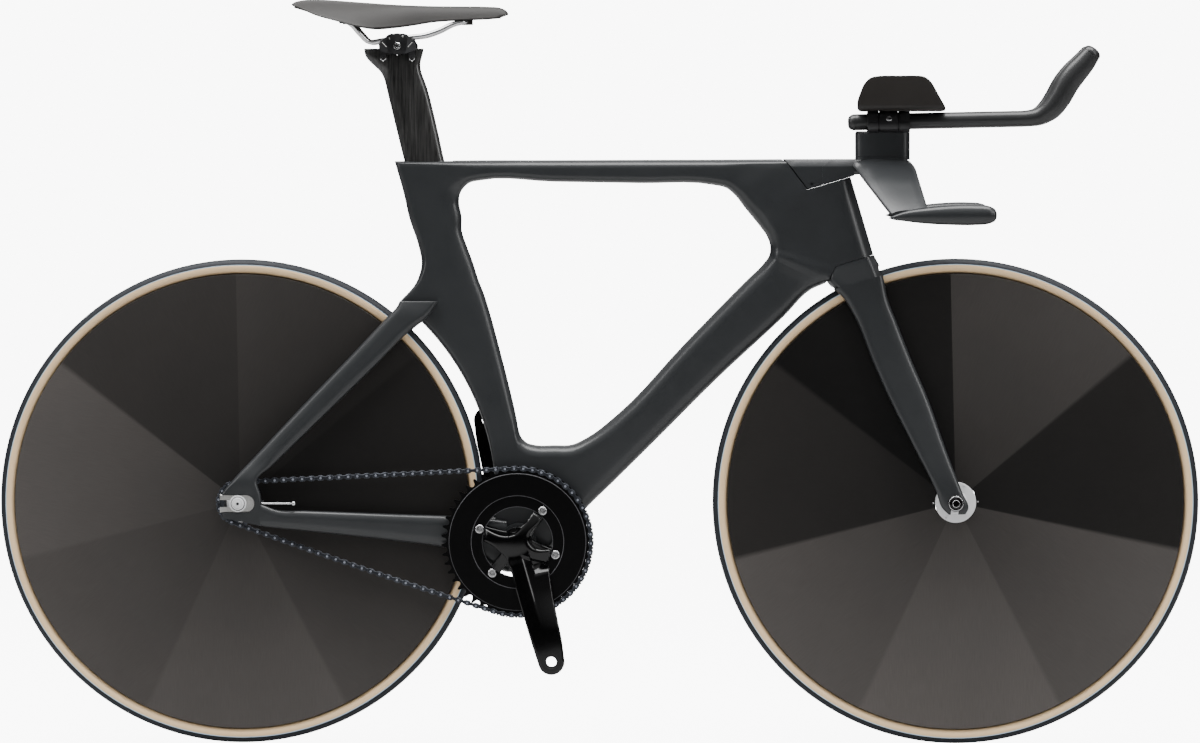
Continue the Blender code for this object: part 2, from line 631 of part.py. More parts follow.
def rear_stay(name, side):
    half = STAY_HALF_THICKNESS
    outer = REAR_HUB_SPACING / 2 + 4.6
    sx, t = post_rear(FRAME_TOP), FRAME_TOP
    inner_y = SEAT_TUBE_HALF_WIDTH
    seat_rings = [
        section((sx - 6.0, t - 195.0), (sx + 46.5, t - 195.5), side * (inner_y + 5.0), 6.5, 6, 6),
        section((sx - 9.0, t - 202.0), (sx + 36.0, t - 212.0), side * (inner_y + 7.5), half + 0.5, 9, 9),
        section((sx - 26.0, t - 219.0), (sx + 12.0, t - 232.0), side * (inner_y + 11.0), half + 0.3, 11, 11),
        section((sx - 66.0, t - 262.0), (sx - 34.0, t - 278.0), side * (inner_y + 18.5), half, 12, 12),
        section(from_rear(84.0, 130.0), from_rear(112.0, 115.0), side * (outer - 22.5), half, 12, 12),
        section(from_rear(20.0, 61.5), from_rear(46.0, 51.0), side * (outer - 9.5), half - 1.0, 11, 11),
        section(from_rear(-7.0, 32.5), from_rear(26.0, 31.0), side * (outer - 0.5), half - 2.0, 8, 8),
        section(from_rear(-22.0, 13.5), from_rear(31.5, 10.0), side * outer, 4.6, 3, 5),
        section(from_rear(-22.0, -19.5), from_rear(33.5, -30.5), side * outer, 4.6, 3, 5),
    ]
    name_tools = "right" if side < 0 else "left"
    chain_rings = [
        section(from_rear(8.0, 8.0), from_rear(6.0, -25.5), side * outer, 4.2, 4, 4),
        section(from_rear(33.0, -1.5), from_rear(31.0, -31.0), side * (outer - 0.3), 4.6, 8, 8),
        section(from_rear(52.0, -8.3), from_rear(50.0, -33.5), side * (outer - 3.5), 5.6, 9, 9),
        section(from_rear(92.4, -10.3), from_rear(90.0, -38.0), side * (outer - 10.5), half - 0.5, 10, 10),
        section(from_rear(147.4, -12.7), from_rear(145.0, -44.4), side * (outer - 18.5), half, 11, 11),
        section(from_rear(222.0, -16.0), from_rear(220.0, -53.5), side * (outer - 29.0), half + 0.4, 12, 12),
        section(from_bb(-93.0, 35.0), from_bb(-95.0, -9.5), side * (BB_HALF_WIDTH + 12.5), half + 0.8, 13, 13),
        section(from_bb(-45.0, 32.0), from_bb(-46.0, -18.0), side * (BB_HALF_WIDTH + 8.5), half + 1.6, 14, 14),
        section(from_bb(-16.0, 28.0), from_bb(-16.0, -21.0), side * (BB_HALF_WIDTH + 8.0), half + 1.8, 14, 14),
    ]
    stay = add_object(name, loft(seat_rings), PAINT)
    boolean(stay, helper("chain_stay_" + name_tools, loft(chain_rings)), "UNION")
    low, high = sorted((side * (REAR_HUB_SPACING / 2 - 12), side * (REAR_HUB_SPACING / 2 + 20)))
    boolean(stay, helper("dropout_pocket_" + name_tools, plate([dropout_outline(GAP)], low, high)))
    y = side * (REAR_HUB_SPACING / 2 + DROPOUT_THICKNESS / 2)
    screw = rod((REAR_AXLE[0] + 10, y, REAR_AXLE[1]), (REAR_AXLE[0] + 60, y, REAR_AXLE[1]), TENSIONER_RADIUS + GAP, 10)
    boolean(stay, helper("tensioner_hole_" + name_tools, screw))
    flank = SEAT_TUBE_HALF_WIDTH + GAP
    low, high = sorted((-side * 30, side * flank))
    boolean(stay, helper("seat_flank_" + name_tools, box((sx - 60, low, t - 260), (sx + 140, high, t - 120))))
    flank = BB_HALF_WIDTH + 0.6 + GAP
    low, high = sorted((-side * 30, side * flank))
    boolean(stay, helper("bb_flank_" + name_tools, box((BB[0] - 70, low, BB[1] - 80), (BB[0] + 60, high, BB[1] + 90))))
    shell = rod((BB[0], -60, BB[1]), (BB[0], 60, BB[1]), BB_SHELL_RADIUS + GAP, 24)
    boolean(stay, helper("bb_clearance_" + name_tools, shell))
    return stay


def dropout(name, side):
    low, high = sorted((side * REAR_HUB_SPACING / 2, side * (REAR_HUB_SPACING / 2 + DROPOUT_THICKNESS)))
    made = add_object(name, plate([dropout_outline()], low, high), SILVER)
    slot_half = AXLE_RADIUS + GAP
    points = [from_rear(-60.0, slot_half)]
    for i in range(7):
        angle = pi / 2 - pi * i / 6
        points.append(from_rear(0.8 + slot_half * cos(angle), slot_half * sin(angle)))
    points.append(from_rear(-60.0, -slot_half))
    tools = "right" if side < 0 else "left"
    boolean(made, helper("axle_slot_" + tools, plate([points], low - 5, high + 5)))
    y = (low + high) / 2
    hole = rod((REAR_AXLE[0], y, REAR_AXLE[1]), (REAR_AXLE[0] + 60, y, REAR_AXLE[1]), TENSIONER_RADIUS + GAP, 10)
    boolean(made, helper("dropout_hole_" + tools, hole))


def tensioner(name, side):
    y = side * (REAR_HUB_SPACING / 2 + DROPOUT_THICKNESS / 2)
    start = REAR_AXLE[0] + AXLE_RADIUS + GAP
    r, b, length = TENSIONER_RADIUS, TENSIONER_BALL, TENSIONER_LENGTH
    neck = length + b - sqrt(b * b - r * r)
    profile = [(0, 0), (r, 0), (r, neck), (b * 0.8, length + 0.4 * b), (b, length + b), (b * 0.8, length + 1.6 * b),
               (b * 0.35, length + 2 * b), (0, length + 2 * b)]
    add_object(name, turn(profile, (start, y, REAR_AXLE[1]), (1, 0, 0), 10), SILVER)


def axle(name, centre, spacing, reach, parent=None):
    half = spacing / 2
    inner = half - 9.7
    side = [(0, reach - 13), (AXLE_SCREW_RADIUS, reach - 13), (AXLE_SCREW_RADIUS, reach), (AXLE_RADIUS, reach),
            (AXLE_RADIUS, half - GAP), (LOCKNUT_RADIUS, half - GAP), (LOCKNUT_RADIUS, inner), (AXLE_RADIUS, inner)]
    profile = side + [(r, -y) for r, y in reversed(side)]
    add_object(name, turn(profile, (centre[0], 0, centre[1]), segments=12), SILVER, parent)


def axle_bolt(name, centre, side, seat, radius, material, parent=None):
    # A flanged round bolt with a hexagon socket, screwed into the axle
    s = side
    shank = AXLE_SCREW_RADIUS - GAP
    y0 = seat + GAP
    socket = 2.9
    profile = [(0, y0 - 9.5), (shank, y0 - 9.5), (shank, y0), (radius, y0), (radius, y0 + 2.4), (AXLE_BOLT_HEAD, y0 + 2.4),
               (AXLE_BOLT_HEAD - 0.6, y0 + 8.2), (socket, y0 + 8.2), (socket, y0 + 4.2), (0, y0 + 4.2)]
    profile = [(r, s * y) for r, y in profile]
    add_object(name, turn(profile, (centre[0], 0, centre[1]), segments=12), material, parent)


# Wheels
def tyre_profile():
    half = TYRE_WIDTH / 2
    base = WHEEL_RADIUS - TYRE_HEIGHT
    side = [(base, 0.0), (base + 1.4, 0.76 * half), (base + 9.5, half), (base + 17.6, 0.68 * half), (WHEEL_RADIUS, 0.0)]
    return side + [(r, -y) for r, y in reversed(side[1:-1])]


def rim_profile():
    base = WHEEL_RADIUS - TYRE_HEIGHT - GAP
    half = RIM_WIDTH / 2 - DISC_WALL - GAP
    side = [(base, 0.0), (base + 1.0, half - 0.4), (base - RIM_HEIGHT, half - 0.8)]
    return side + [(r, -y) for r, y in reversed(side[1:])]


def disc_profile(side, hub_half):
    outer_radius = WHEEL_RADIUS - TYRE_HEIGHT + 0.3
    rim_half = RIM_WIDTH / 2
    outer = [(outer_radius, rim_half), (DISC_HUB_RADIUS + GAP + 0.1, hub_half)]
    inner = [(DISC_HUB_RADIUS + GAP + 0.1, hub_half - DISC_WALL), (outer_radius, rim_half - DISC_WALL)]
    return [(r, side * y) for r, y in outer + inner]


def hub_profile(flange, end, barrel_ends):
    # Hollow hub shell: bore, bearing seats, end plates and barrel
    bore = (AXLE_RADIUS + GAP) / cos(pi / 18)
    seat = LOCKNUT_RADIUS + 4.0
    b = DISC_HUB_RADIUS
    side = [(bore, 0.0), (bore, end - 8.0), (seat, end - 8.0), (seat, end), (seat + 3.0, end), (seat + 4.0, flange + 1.0),
            (b - 1.2, flange + 1.0), (b, flange - 0.4), (b, flange - 3.5), (HUB_BARREL_RADIUS, barrel_ends),
            (HUB_BARREL_RADIUS, 0.0)]
    return side



def wheel(prefix, axle_point, hub_half, parent):
    centre = (axle_point[0], 0, axle_point[1])
    add_object(prefix + "_tyre", turn(tyre_profile(), centre, segments=WHEEL_SEGMENTS), RUBBER, parent)
    add_object(prefix + "_rim", turn(rim_profile(), centre, segments=WHEEL_SEGMENTS), BARE_CARBON, parent)
    for name, side in (("_disc_right", -1), ("_disc_left", 1)):
        skin = turn(disc_profile(side, hub_half), centre, segments=WHEEL_SEGMENTS)
        add_object(prefix + name, skin, DISC_CARBON, parent)


def front_hub():
    side = hub_profile(FRONT_DISC_HUB_HALF + 1.5, FRONT_HUB_SPACING / 2 - 10.0, FRONT_DISC_HUB_HALF - 8)
    profile = side + [(r, -y) for r, y in reversed(side[1:-1])]
    centre = (FRONT_AXLE[0], 0, FRONT_AXLE[1])
    add_object("front_hub", turn(profile, centre, segments=18), SILVER, front_spin)


def rear_hub():
    end = REAR_HUB_SPACING / 2 - 10.0
    side = hub_profile(REAR_DISC_HUB_HALF + 1.5, end, REAR_DISC_HUB_HALF - 8)
    drive = [(r, -y) for r, y in reversed(side[1:-1])]
    # The drive side carries the sprocket thread outside its flange
    thread = COG_BORE - GAP
    face = REAR_DISC_HUB_HALF + 2.5
    shoulder = [(thread + 3.0, -face), (thread + 3.0, -(CHAIN_LINE - TOOTH_THICKNESS / 2 - GAP)),
                (thread, -(CHAIN_LINE - TOOTH_THICKNESS / 2 - GAP)), (thread, -end)]
    seat = LOCKNUT_RADIUS + 4.0
    kept = [point for point in drive if -point[1] <= face + 0.01 and point[0] > thread + 3.0]
    inner = [(seat, -end), (seat, -(end - 8.0)), ((AXLE_RADIUS + GAP) / cos(pi / 18), -(end - 8.0))]
    barrel = [(HUB_BARREL_RADIUS, -(REAR_DISC_HUB_HALF - 8))]
    profile = side[:-1] + barrel + kept + shoulder + inner
    centre = (REAR_AXLE[0], 0, REAR_AXLE[1])
    add_object("rear_hub", turn(profile, centre, segments=18), SILVER, rear_spin)


def toothed(teeth, pitch_radius, phase, centre, tip_half):
    # Tooth gaps are centred on the chain's pins
    root = pitch_radius - 4.1
    tip = root + TOOTH_DEPTH
    points = []
    for i in range(teeth):
        pin = phase + 2 * pi * i / teeth
        across_tip = 2 * pi * tip / teeth
        for radius, offset in ((root, -3.3), (root, 3.3), (tip, tip_half), (tip, across_tip - tip_half)):
            angle = pin + offset / radius
            points.append((centre[0] + radius * cos(angle), centre[1] + radius * sin(angle)))
    return points


def circle(centre, radius, count, phase=0.0):
    return [(centre[0] + radius * cos(phase + 2 * pi * i / count), centre[1] + radius * sin(phase + 2 * pi * i / count))
            for i in range(count)]


def cog():
    half = TOOTH_THICKNESS / 2
    outline = toothed(COG_TEETH, COG_PITCH_RADIUS, COG_PHASE, REAR_AXLE, 5.7)
    loops = [outline, circle(REAR_AXLE, COG_BORE / cos(pi / 20), 20)]
    add_object("cog", plate(loops, -CHAIN_LINE - half, -CHAIN_LINE + half), STEEL, rear_spin, 20)
    y0 = -(CHAIN_LINE + half + GAP)
    y1 = -(REAR_HUB_SPACING / 2 - 10.5)
    ring = turn([(COG_BORE, y0), (COG_BORE + 4.0, y0), (COG_BORE + 4.0, y1 + 0.8), (COG_BORE + 3.0, y1), (COG_BORE, y1)],
                (REAR_AXLE[0], 0, REAR_AXLE[1]), segments=18)
    add_object("cog_lockring", ring, BLACK_ALLOY, rear_spin)


# Cranks
def bolt_places():
    return [radians(CRANK_ANGLE + spread) for spread in BOLT_SPREAD]


def on_bb(radius, angle):
    return (BB[0] + radius * cos(angle), BB[1] + radius * sin(angle))


def bolt_circle_holes():
    return [circle(on_bb(BOLT_CIRCLE_RADIUS, angle), (4.2 + GAP) / cos(pi / 10), 10) for angle in bolt_places()]


def chainring():
    # Toothed plate with a raised face, a step that the bolts sit on and a round opening
    inner_y = -CHAIN_LINE + TOOTH_THICKNESS / 2
    outer_y = -CHAIN_LINE - TOOTH_THICKNESS / 2
    face_y = outer_y - RING_FACE_RISE
    step_y = outer_y - RING_STEP_RISE
    bm = bmesh.new()

    def loop(points, y):
        return [bm.verts.new((x, y, z)) for x, z in points]

    def wall(first, second):
        for i in range(len(first)):
            bm.faces.new((first[i - 1], first[i], second[i], second[i - 1]))

    def fill(*loops):
        edges = []
        for verts in loops:
            edges += [bm.edges.get((verts[i - 1], verts[i])) or bm.edges.new((verts[i - 1], verts[i]))
                      for i in range(len(verts))]
        bmesh.ops.triangle_fill(bm, use_beauty=True, use_dissolve=False, edges=edges)

    teeth = toothed(RING_TEETH, RING_PITCH_RADIUS, RING_PHASE, BB, 5.2)
    opening = circle(BB, RING_OPENING_RADIUS / cos(pi / 40), 40)
    face, step = circle(BB, RING_FACE_RADIUS, 40), circle(BB, RING_STEP_RADIUS, 40)
    back_teeth, back_opening = loop(teeth, inner_y), loop(opening, inner_y)
    back_holes = [loop(points, inner_y) for points in bolt_circle_holes()]
    front_teeth, foot = loop(teeth, outer_y), loop(face, outer_y)
    rim, lip, tread = loop(face, face_y), loop(step, face_y), loop(step, step_y)
    mouth = loop(opening, step_y)
    mouth_holes = [loop(points, step_y) for points in bolt_circle_holes()]
    for first, second in ((back_teeth, front_teeth), (foot, rim), (rim, lip), (lip, tread), (mouth, back_opening)):
        wall(first, second)
    for first, second in zip(mouth_holes, back_holes):
        wall(first, second)
    fill(back_teeth, back_opening, *back_holes)
    fill(front_teeth, foot)
    fill(tread, mouth, *mouth_holes)
    add_object("chainring", bm, GLOSS_BLACK, crank_spin, 25)


def chainring_bolts():
    # Countersunk heads on the ring's step, shanks through the spider's tabs
    step_y = -CHAIN_LINE - TOOTH_THICKNESS / 2 - RING_STEP_RISE
    tab_back = -CHAIN_LINE + TOOTH_THICKNESS / 2 + GAP + 3.2
    for number, angle in enumerate(bolt_places(), 1):
        x, z = on_bb(BOLT_CIRCLE_RADIUS, angle)
        r = RING_BOLT_RADIUS
        profile = [(0, step_y + 1.5), (2.6, step_y + 1.5), (2.6, step_y - 2.2), (r - 1.0, step_y - 2.2), (r, step_y - 1.4),
                   (r, step_y - GAP), (4.2, step_y - GAP), (4.2, tab_back), (0, tab_back)]
        add_object(f"chainring_bolt_{number}", turn(profile, (x, 0, z), segments=12), SILVER, crank_spin)


def crank_arm_rings(angle, side):
    # Sections across the arm, from the axle to past the pedal hole
    along = (cos(angle), sin(angle))
    across = (-sin(angle), cos(angle))
    t = CRANK_THICKNESS
    root_y = CRANK_OUTER - t - 9.0
    stations = [
        (-14.0, 15.0, root_y, t - 2.0), (0.0, 24.0, root_y, t), (30.0, CRANK_ROOT_HALF, root_y + 0.5, t),
        (62.0, 23.5, root_y + 1.7, t), (110.0, 20.5, root_y + 5.6, t), (150.0, 18.6, root_y + 9.0, t),
        (CRANK_LENGTH, CRANK_END_RADIUS, root_y + 9.0, t), (CRANK_LENGTH + 9.0, 0.87 * CRANK_END_RADIUS, root_y + 9.0, t),
        (CRANK_LENGTH + 15.6, 0.5 * CRANK_END_RADIUS, root_y + 9.0, t),
        (CRANK_LENGTH + 17.6, 0.2 * CRANK_END_RADIUS, root_y + 9.0, t),
    ]
    rings = []
    for reach, half, low, thick in stations:
        ring = []
        corner = min(4.0, 0.4 * half)
        shape = [(half, 0.0), (half, thick - 4.0), (half - corner, thick), (-half + corner, thick), (-half, thick - 4.0),
                 (-half, 0.0)]
        for c, h in shape:
            ring.append((BB[0] + along[0] * reach + across[0] * c, side * (low + h),
                         BB[1] + along[1] * reach + across[1] * c))
        rings.append(ring)
    return rings


def pedal_hole(angle, side):
    x, z = on_bb(CRANK_LENGTH, angle)
    return rod((x, side * (CRANK_OUTER - 40), z), (x, side * (CRANK_OUTER + 20), z), PEDAL_HOLE_RADIUS, 32)


def crank_right():
    angle = radians(CRANK_ANGLE)
    crank = add_object("crank_right", loft(crank_arm_rings(angle, -1)), GLOSS_BLACK, crank_spin)
    inner_face = CHAIN_LINE - TOOTH_THICKNESS / 2 - GAP
    reach = RING_OPENING_RADIUS - GAP
    places = sorted(bolt_places())
    star = []
    for i, place in enumerate(places):
        turn_half = 9.0 / reach
        star += [on_bb(reach, place - turn_half), on_bb(reach, place + turn_half)]
        following = places[(i + 1) % len(places)] + (2 * pi if i + 1 == len(places) else 0)
        middle = (place + following) / 2
        narrow = following - place < pi / 2 + 0.2
        star += [on_bb(30.0, place + 0.28), on_bb(22.0 if not narrow else 25.0, middle), on_bb(30.0, following - 0.28)]
    spider = plate([star], -(CHAIN_LINE + 6.5), -(inner_face - 1.0))
    boolean(crank, helper("spider", spider), "UNION")
    tabs = []
    for place in places:
        across = 8.2
        tip = on_bb(BOLT_CIRCLE_RADIUS, place)
        base = on_bb(26.0, place)
        nx, nz = -sin(place) * across, cos(place) * across
        outline = [(base[0] - nx, base[1] - nz), (tip[0] - nx, tip[1] - nz)]
        outline += [(tip[0] + across * cos(place + a), tip[1] + across * sin(place + a))
                    for a in (radians(-55), radians(-20), radians(20), radians(55))]
        outline += [(tip[0] + nx, tip[1] + nz), (base[0] + nx, base[1] + nz)]
        tabs.append(plate([outline], -inner_face, -(inner_face - 3.2)))
    boolean(crank, helper("spider_tabs", join(*tabs)), "UNION")
    start = BB_SHELL_WIDTH / 2 + BB_CUP_FLANGE + 2 * GAP
    middle, end = CRANK_OUTER - 25.5, CRANK_OUTER - 15.5
    boss = turn([(0, -start), (18.0, -start), (20.5, -middle), (20.5, -end), (0, -end)], (BB[0], 0, BB[1]), segments=18)
    boolean(crank, helper("crank_boss", boss), "UNION")
    screws = join(*[plate([points], -CHAIN_LINE - 18.2, -CHAIN_LINE + 18.2) for points in bolt_circle_holes()])
    boolean(crank, helper("tab_holes", screws))
    boolean(crank, helper("pedal_hole_right", pedal_hole(angle, -1)))
    bore = rod((BB[0], 0, BB[1]), (BB[0], 14.0 - CRANK_OUTER, BB[1]), SPINDLE_RADIUS + GAP, 16)
    boolean(crank, helper("spindle_bore_right", bore))


def crank_left():
    angle = radians(CRANK_ANGLE) + pi
    crank = add_object("crank_left", loft(crank_arm_rings(angle, 1)), GLOSS_BLACK, crank_spin)
    start = BB_SHELL_WIDTH / 2 + BB_CUP_FLANGE + 2 * GAP
    middle, end = CRANK_OUTER - 25.5, CRANK_OUTER - 13.5
    boss = turn([(0, start), (18.0, start), (20.0, middle), (20.0, end), (0, end)], (BB[0], 0, BB[1]), segments=18)
    boolean(crank, helper("left_boss", boss), "UNION")
    boolean(crank, helper("pedal_hole_left", pedal_hole(angle, 1)))
    bore = rod((BB[0], 0, BB[1]), (BB[0], CRANK_OUTER + 8.5, BB[1]), SPINDLE_RADIUS + GAP, 16)
    boolean(crank, helper("spindle_bore_left", bore))


def spindle():
    r = SPINDLE_RADIUS
    face = CRANK_OUTER - 8.6 + GAP
    end = CRANK_OUTER - 14.5
    profile = [(r - 3.0, -end), (r, -end), (r, face), (r + 3.0, face), (r + 3.0, face + 2.0), (4.0, face + 2.0),
               (4.0, face - 4.0), (r - 3.0, face - 4.0)]
    # A hollow axle: the left cap closes its end
    add_object("crank_spindle", turn(profile, (BB[0], 0, BB[1]), segments=16), BLACK_ALLOY, crank_spin)


def bb_cup(name, side):
    face = BB_SHELL_WIDTH / 2 + GAP
    profile = [(SPINDLE_RADIUS + GAP, face - 17.0), (BB_BARREL_RADIUS, face - 17.0), (BB_BARREL_RADIUS, face),
               (BB_CUP_RADIUS, face), (BB_CUP_RADIUS, face + BB_CUP_FLANGE - 1.0),
               (BB_CUP_RADIUS - 1.0, face + BB_CUP_FLANGE - GAP), (SPINDLE_RADIUS + GAP, face + BB_CUP_FLANGE - GAP)]
    profile = [(r, side * y) for r, y in profile]
    add_object(name, turn(profile, (BB[0], 0, BB[1]), segments=16), BLACK_ALLOY)


def chain():
    # One closed body: two rows of plates that step in and out by turns, with a roller between them at each pin
    bm = bmesh.new()
    count = len(CHAIN_PINS)
    low, mid = CHAIN_INNER_HALF, CHAIN_INNER_HALF + CHAIN_PLATE
    high = CHAIN_INNER_HALF + 2 * CHAIN_PLATE
    pins = [Vector((x, -CHAIN_LINE, z)) for x, z in CHAIN_PINS]
    rollers = {}
    for side in (-1, 1):
        rows = []
        for i in range(count):
            along = (pins[(i + 1) % count] - pins[i - 1]).normalized()
            across = Vector((-along.z, 0, along.x))
            row = {}
            for name, height in (("top", PLATE_HALF_HEIGHT), ("bottom", -PLATE_HALF_HEIGHT)):
                row[name] = [bm.verts.new(pins[i] + across * height + Vector((0, side * y, 0))) for y in (low, mid, high)]
            h = ROLLER_HALF_SIDE
            row["roller"] = [bm.verts.new(pins[i] + along * a + across * b + Vector((0, side * low, 0)))
                             for a, b in ((-h, h), (h, h), (h, -h), (-h, -h))]
            rows.append(row)
            rollers[(side, i)] = row["roller"]
        for i in range(count):
            here, after = rows[i], rows[(i + 1) % count]
            edge = 2 if i % 2 else 1
            for name in ("top", "bottom"):
                bm.faces.new(here[name][:edge + 1] + after[name][edge::-1])
            bm.faces.new((here["top"][edge], after["top"][edge], after["bottom"][edge], here["bottom"][edge]))
            bm.faces.new((here["top"][1], here["top"][2], here["bottom"][2], here["bottom"][1]))
            near, far = here["roller"], after["roller"]
            bm.faces.new((here["top"][0], after["top"][0], far[0], near[1]))
            bm.faces.new((here["bottom"][0], after["bottom"][0], far[3], near[2]))
            bm.faces.new((near[1], far[0], far[3], near[2]))
            bm.faces.new((here["top"][0], near[1], near[0]))
            bm.faces.new((here["bottom"][0], near[2], near[3]))
    for i in range(count):
        near, far = rollers[(-1, i)], rollers[(1, i)]
        for k in range(4):
            bm.faces.new((near[k], near[(k + 1) % 4], far[(k + 1) % 4], far[k]))
    add_object("chain", bm, STEEL, sharp=20)


# Steering parts
def headset_bearing(name, low, high):
    profile = [(STEERER_RADIUS + GAP, low), (BEARING_RADIUS, low), (BEARING_RADIUS, high), (STEERER_RADIUS + GAP, high)]
    add_object(name, turn_steering(profile, 24), SILVER)


def fork():
    crown = [
        section(steer(LOWER_SEAM + 12, -40.0), steer(LOWER_SEAM + 12, HEAD_NOSE + 0.3), 0, HEAD_HALF_WIDTH, 12, 14),
        section(steer(LOWER_SEAM - 2, -43.0), steer(LOWER_SEAM - 2, HEAD_NOSE + 0.8), 0, HEAD_HALF_WIDTH, 12, 14),
        section(steer(LOWER_SEAM - 13, -48.2), steer(LOWER_SEAM - 14, HEAD_NOSE + 3.3), 0, HEAD_HALF_WIDTH + 2.0, 12, 15),
        section(steer(LOWER_SEAM - 32, -41.0), steer(LOWER_SEAM - 34, HEAD_NOSE + 5.5), 0, HEAD_HALF_WIDTH + 5.5, 12, 16),
        section(steer(LOWER_SEAM - 46, -32.0), steer(LOWER_SEAM - 48, HEAD_NOSE + 6.0), 0, HEAD_HALF_WIDTH + 6.5, 12, 16),
    ]
    made = add_object("fork", loft(crown), PAINT, steering)
    end_y = FRONT_HUB_SPACING / 2 + 5.6
    fx, fz = FRONT_AXLE
    reach = (steer(LOWER_SEAM - 30, 0)[1] - fz) / 304.3

    def up_blade(x, z):
        return (fx + x * reach, fz + z * reach)

    for side in (-1, 1):
        tools = "right" if side < 0 else "left"
        blade = [
            section(steer(LOWER_SEAM - 30, -42.0), steer(LOWER_SEAM - 30, HEAD_NOSE + 4.8), side * 20.8, 7.0, 12, 16),
            section(up_blade(-153.8, 280.0), up_blade(-93.4, 280.6), side * 21.8, 7.0, 12, 16),
            section(up_blade(-135.9, 249.4), up_blade(-81.9, 250.4), side * 23.6, 7.2, 11, 16),
            section(up_blade(-115.0, 197.0), up_blade(-61.5, 198.0), side * 29.0, 7.2, 11, 16),
            section(up_blade(-92.9, 146.9), up_blade(-39.6, 146.9), side * 36.0, 7.0, 11, 16),
            section(up_blade(-57.3, 75.9), up_blade(-14.5, 75.6), side * 47.0, 6.2, 10, 14),
            section((fx - 26.4, fz + 14.0), (fx + 8.6, fz + 14.6), side * end_y, 5.2, 8, 10),
            section((fx - 18.0, fz - 8.0), (fx + 17.0, fz - 7.0), side * end_y, 5.0, 8, 9),
            section((fx - 10.0, fz - 15.4), (fx + 13.0, fz - 15.0), side * end_y, 4.2, 6, 7),
        ]
        boolean(made, helper("blade_" + tools, loft(blade)), "UNION")
    clearance = WHEEL_RADIUS + TYRE_CLEARANCE
    half = FORK_SLOT_HALF - 0.8
    wheel_slot = turn([(clearance - 60, -half), (clearance - 5, -half), (clearance, -half + 5), (clearance, half - 5),
                       (clearance - 5, half), (clearance - 60, half)], (fx, 0, fz), segments=96)
    boolean(made, helper("tyre_slot", wheel_slot))
    keep_out = [(0, LOWER_SEAM - SEAM_GAP)]
    keep_out += [(radius - SEAM_GAP, LOWER_SEAM + rise - SEAM_GAP) for rise, radius in LOWER_CONE]
    edge = LOWER_SEAM + LOWER_CONE[-1][0] - SEAM_GAP
    keep_out += [(90, edge), (90, LOWER_SEAM + 60), (0, LOWER_SEAM + 60)]
    boolean(made, helper("crown_limit", turn_steering(keep_out)))
    steerer = [(0, LOWER_SEAM - 12), (STEERER_RADIUS, LOWER_SEAM - 12), (STEERER_RADIUS, UPPER_SEAM + 24),
               (0, UPPER_SEAM + 24)]
    boolean(made, helper("steerer", turn_steering(steerer, 24)), "UNION")
    slot_half = AXLE_RADIUS + GAP + 0.2
    points = [(fx - slot_half - 6, fz - 40)]
    for i in range(7):
        angle = pi - pi * i / 6
        points.append((fx + slot_half * cos(angle), fz + slot_half * sin(angle)))
    points.append((fx + slot_half - 6, fz - 40))
    boolean(made, helper("fork_slots", plate([points], -90, 90)))


STEM_SPLIT = -8.6


def stem_block():
    # The stem's outer form, from behind the steering axis to the bar, flat on top with bevelled edges
    top = FRAME_TOP + 1.0
    rings = []
    for offset, low, half in ((-76.0, 50.0, 19.0), (-10.0, 50.0, 21.0), (34.6, 50.0, 21.0), (35.0, 21.5, 21.0),
                              (60.0, 19.5, 25.0), (86.0, 18.0, 32.0)):
        c = 4.0
        shape = [(-half + c, top), (half - c, top), (half, top - c), (half, top - low + c), (half - c, top - low),
                 (-half + c, top - low), (-half, top - low + c), (-half, top - c)]
        rings.append([(bar_x(offset), y, z) for y, z in shape])
    return loft(rings)


def bar_x(offset):
    # Offsets forward of the steering axis where it leaves the head tube
    return steer(UPPER_SEAM + 25, 0)[0] + offset


def stem_tail():
    made = add_object("stem_tail", stem_block(), PAINT, steering)
    boolean(made, helper("tail_limit", turn_steering(upper_cone_profile(-SEAM_GAP, 60))), "INTERSECT")
    x = steer(UPPER_SEAM + 25, 0)[0] + STEM_SPLIT
    boolean(made, helper("tail_split", box((x - GAP, -60, FRAME_TOP - 90), (x + 120, 60, FRAME_TOP + 60))))
    boolean(made, helper("tail_bore", turn_steering(stem_bore_profile(), 24)))


def stem_bore_profile():
    r = STEERER_RADIUS + GAP
    return [(0, UPPER_SEAM - 20), (r, UPPER_SEAM - 20), (r, UPPER_SEAM + 24 + GAP), (0, UPPER_SEAM + 24 + GAP)]


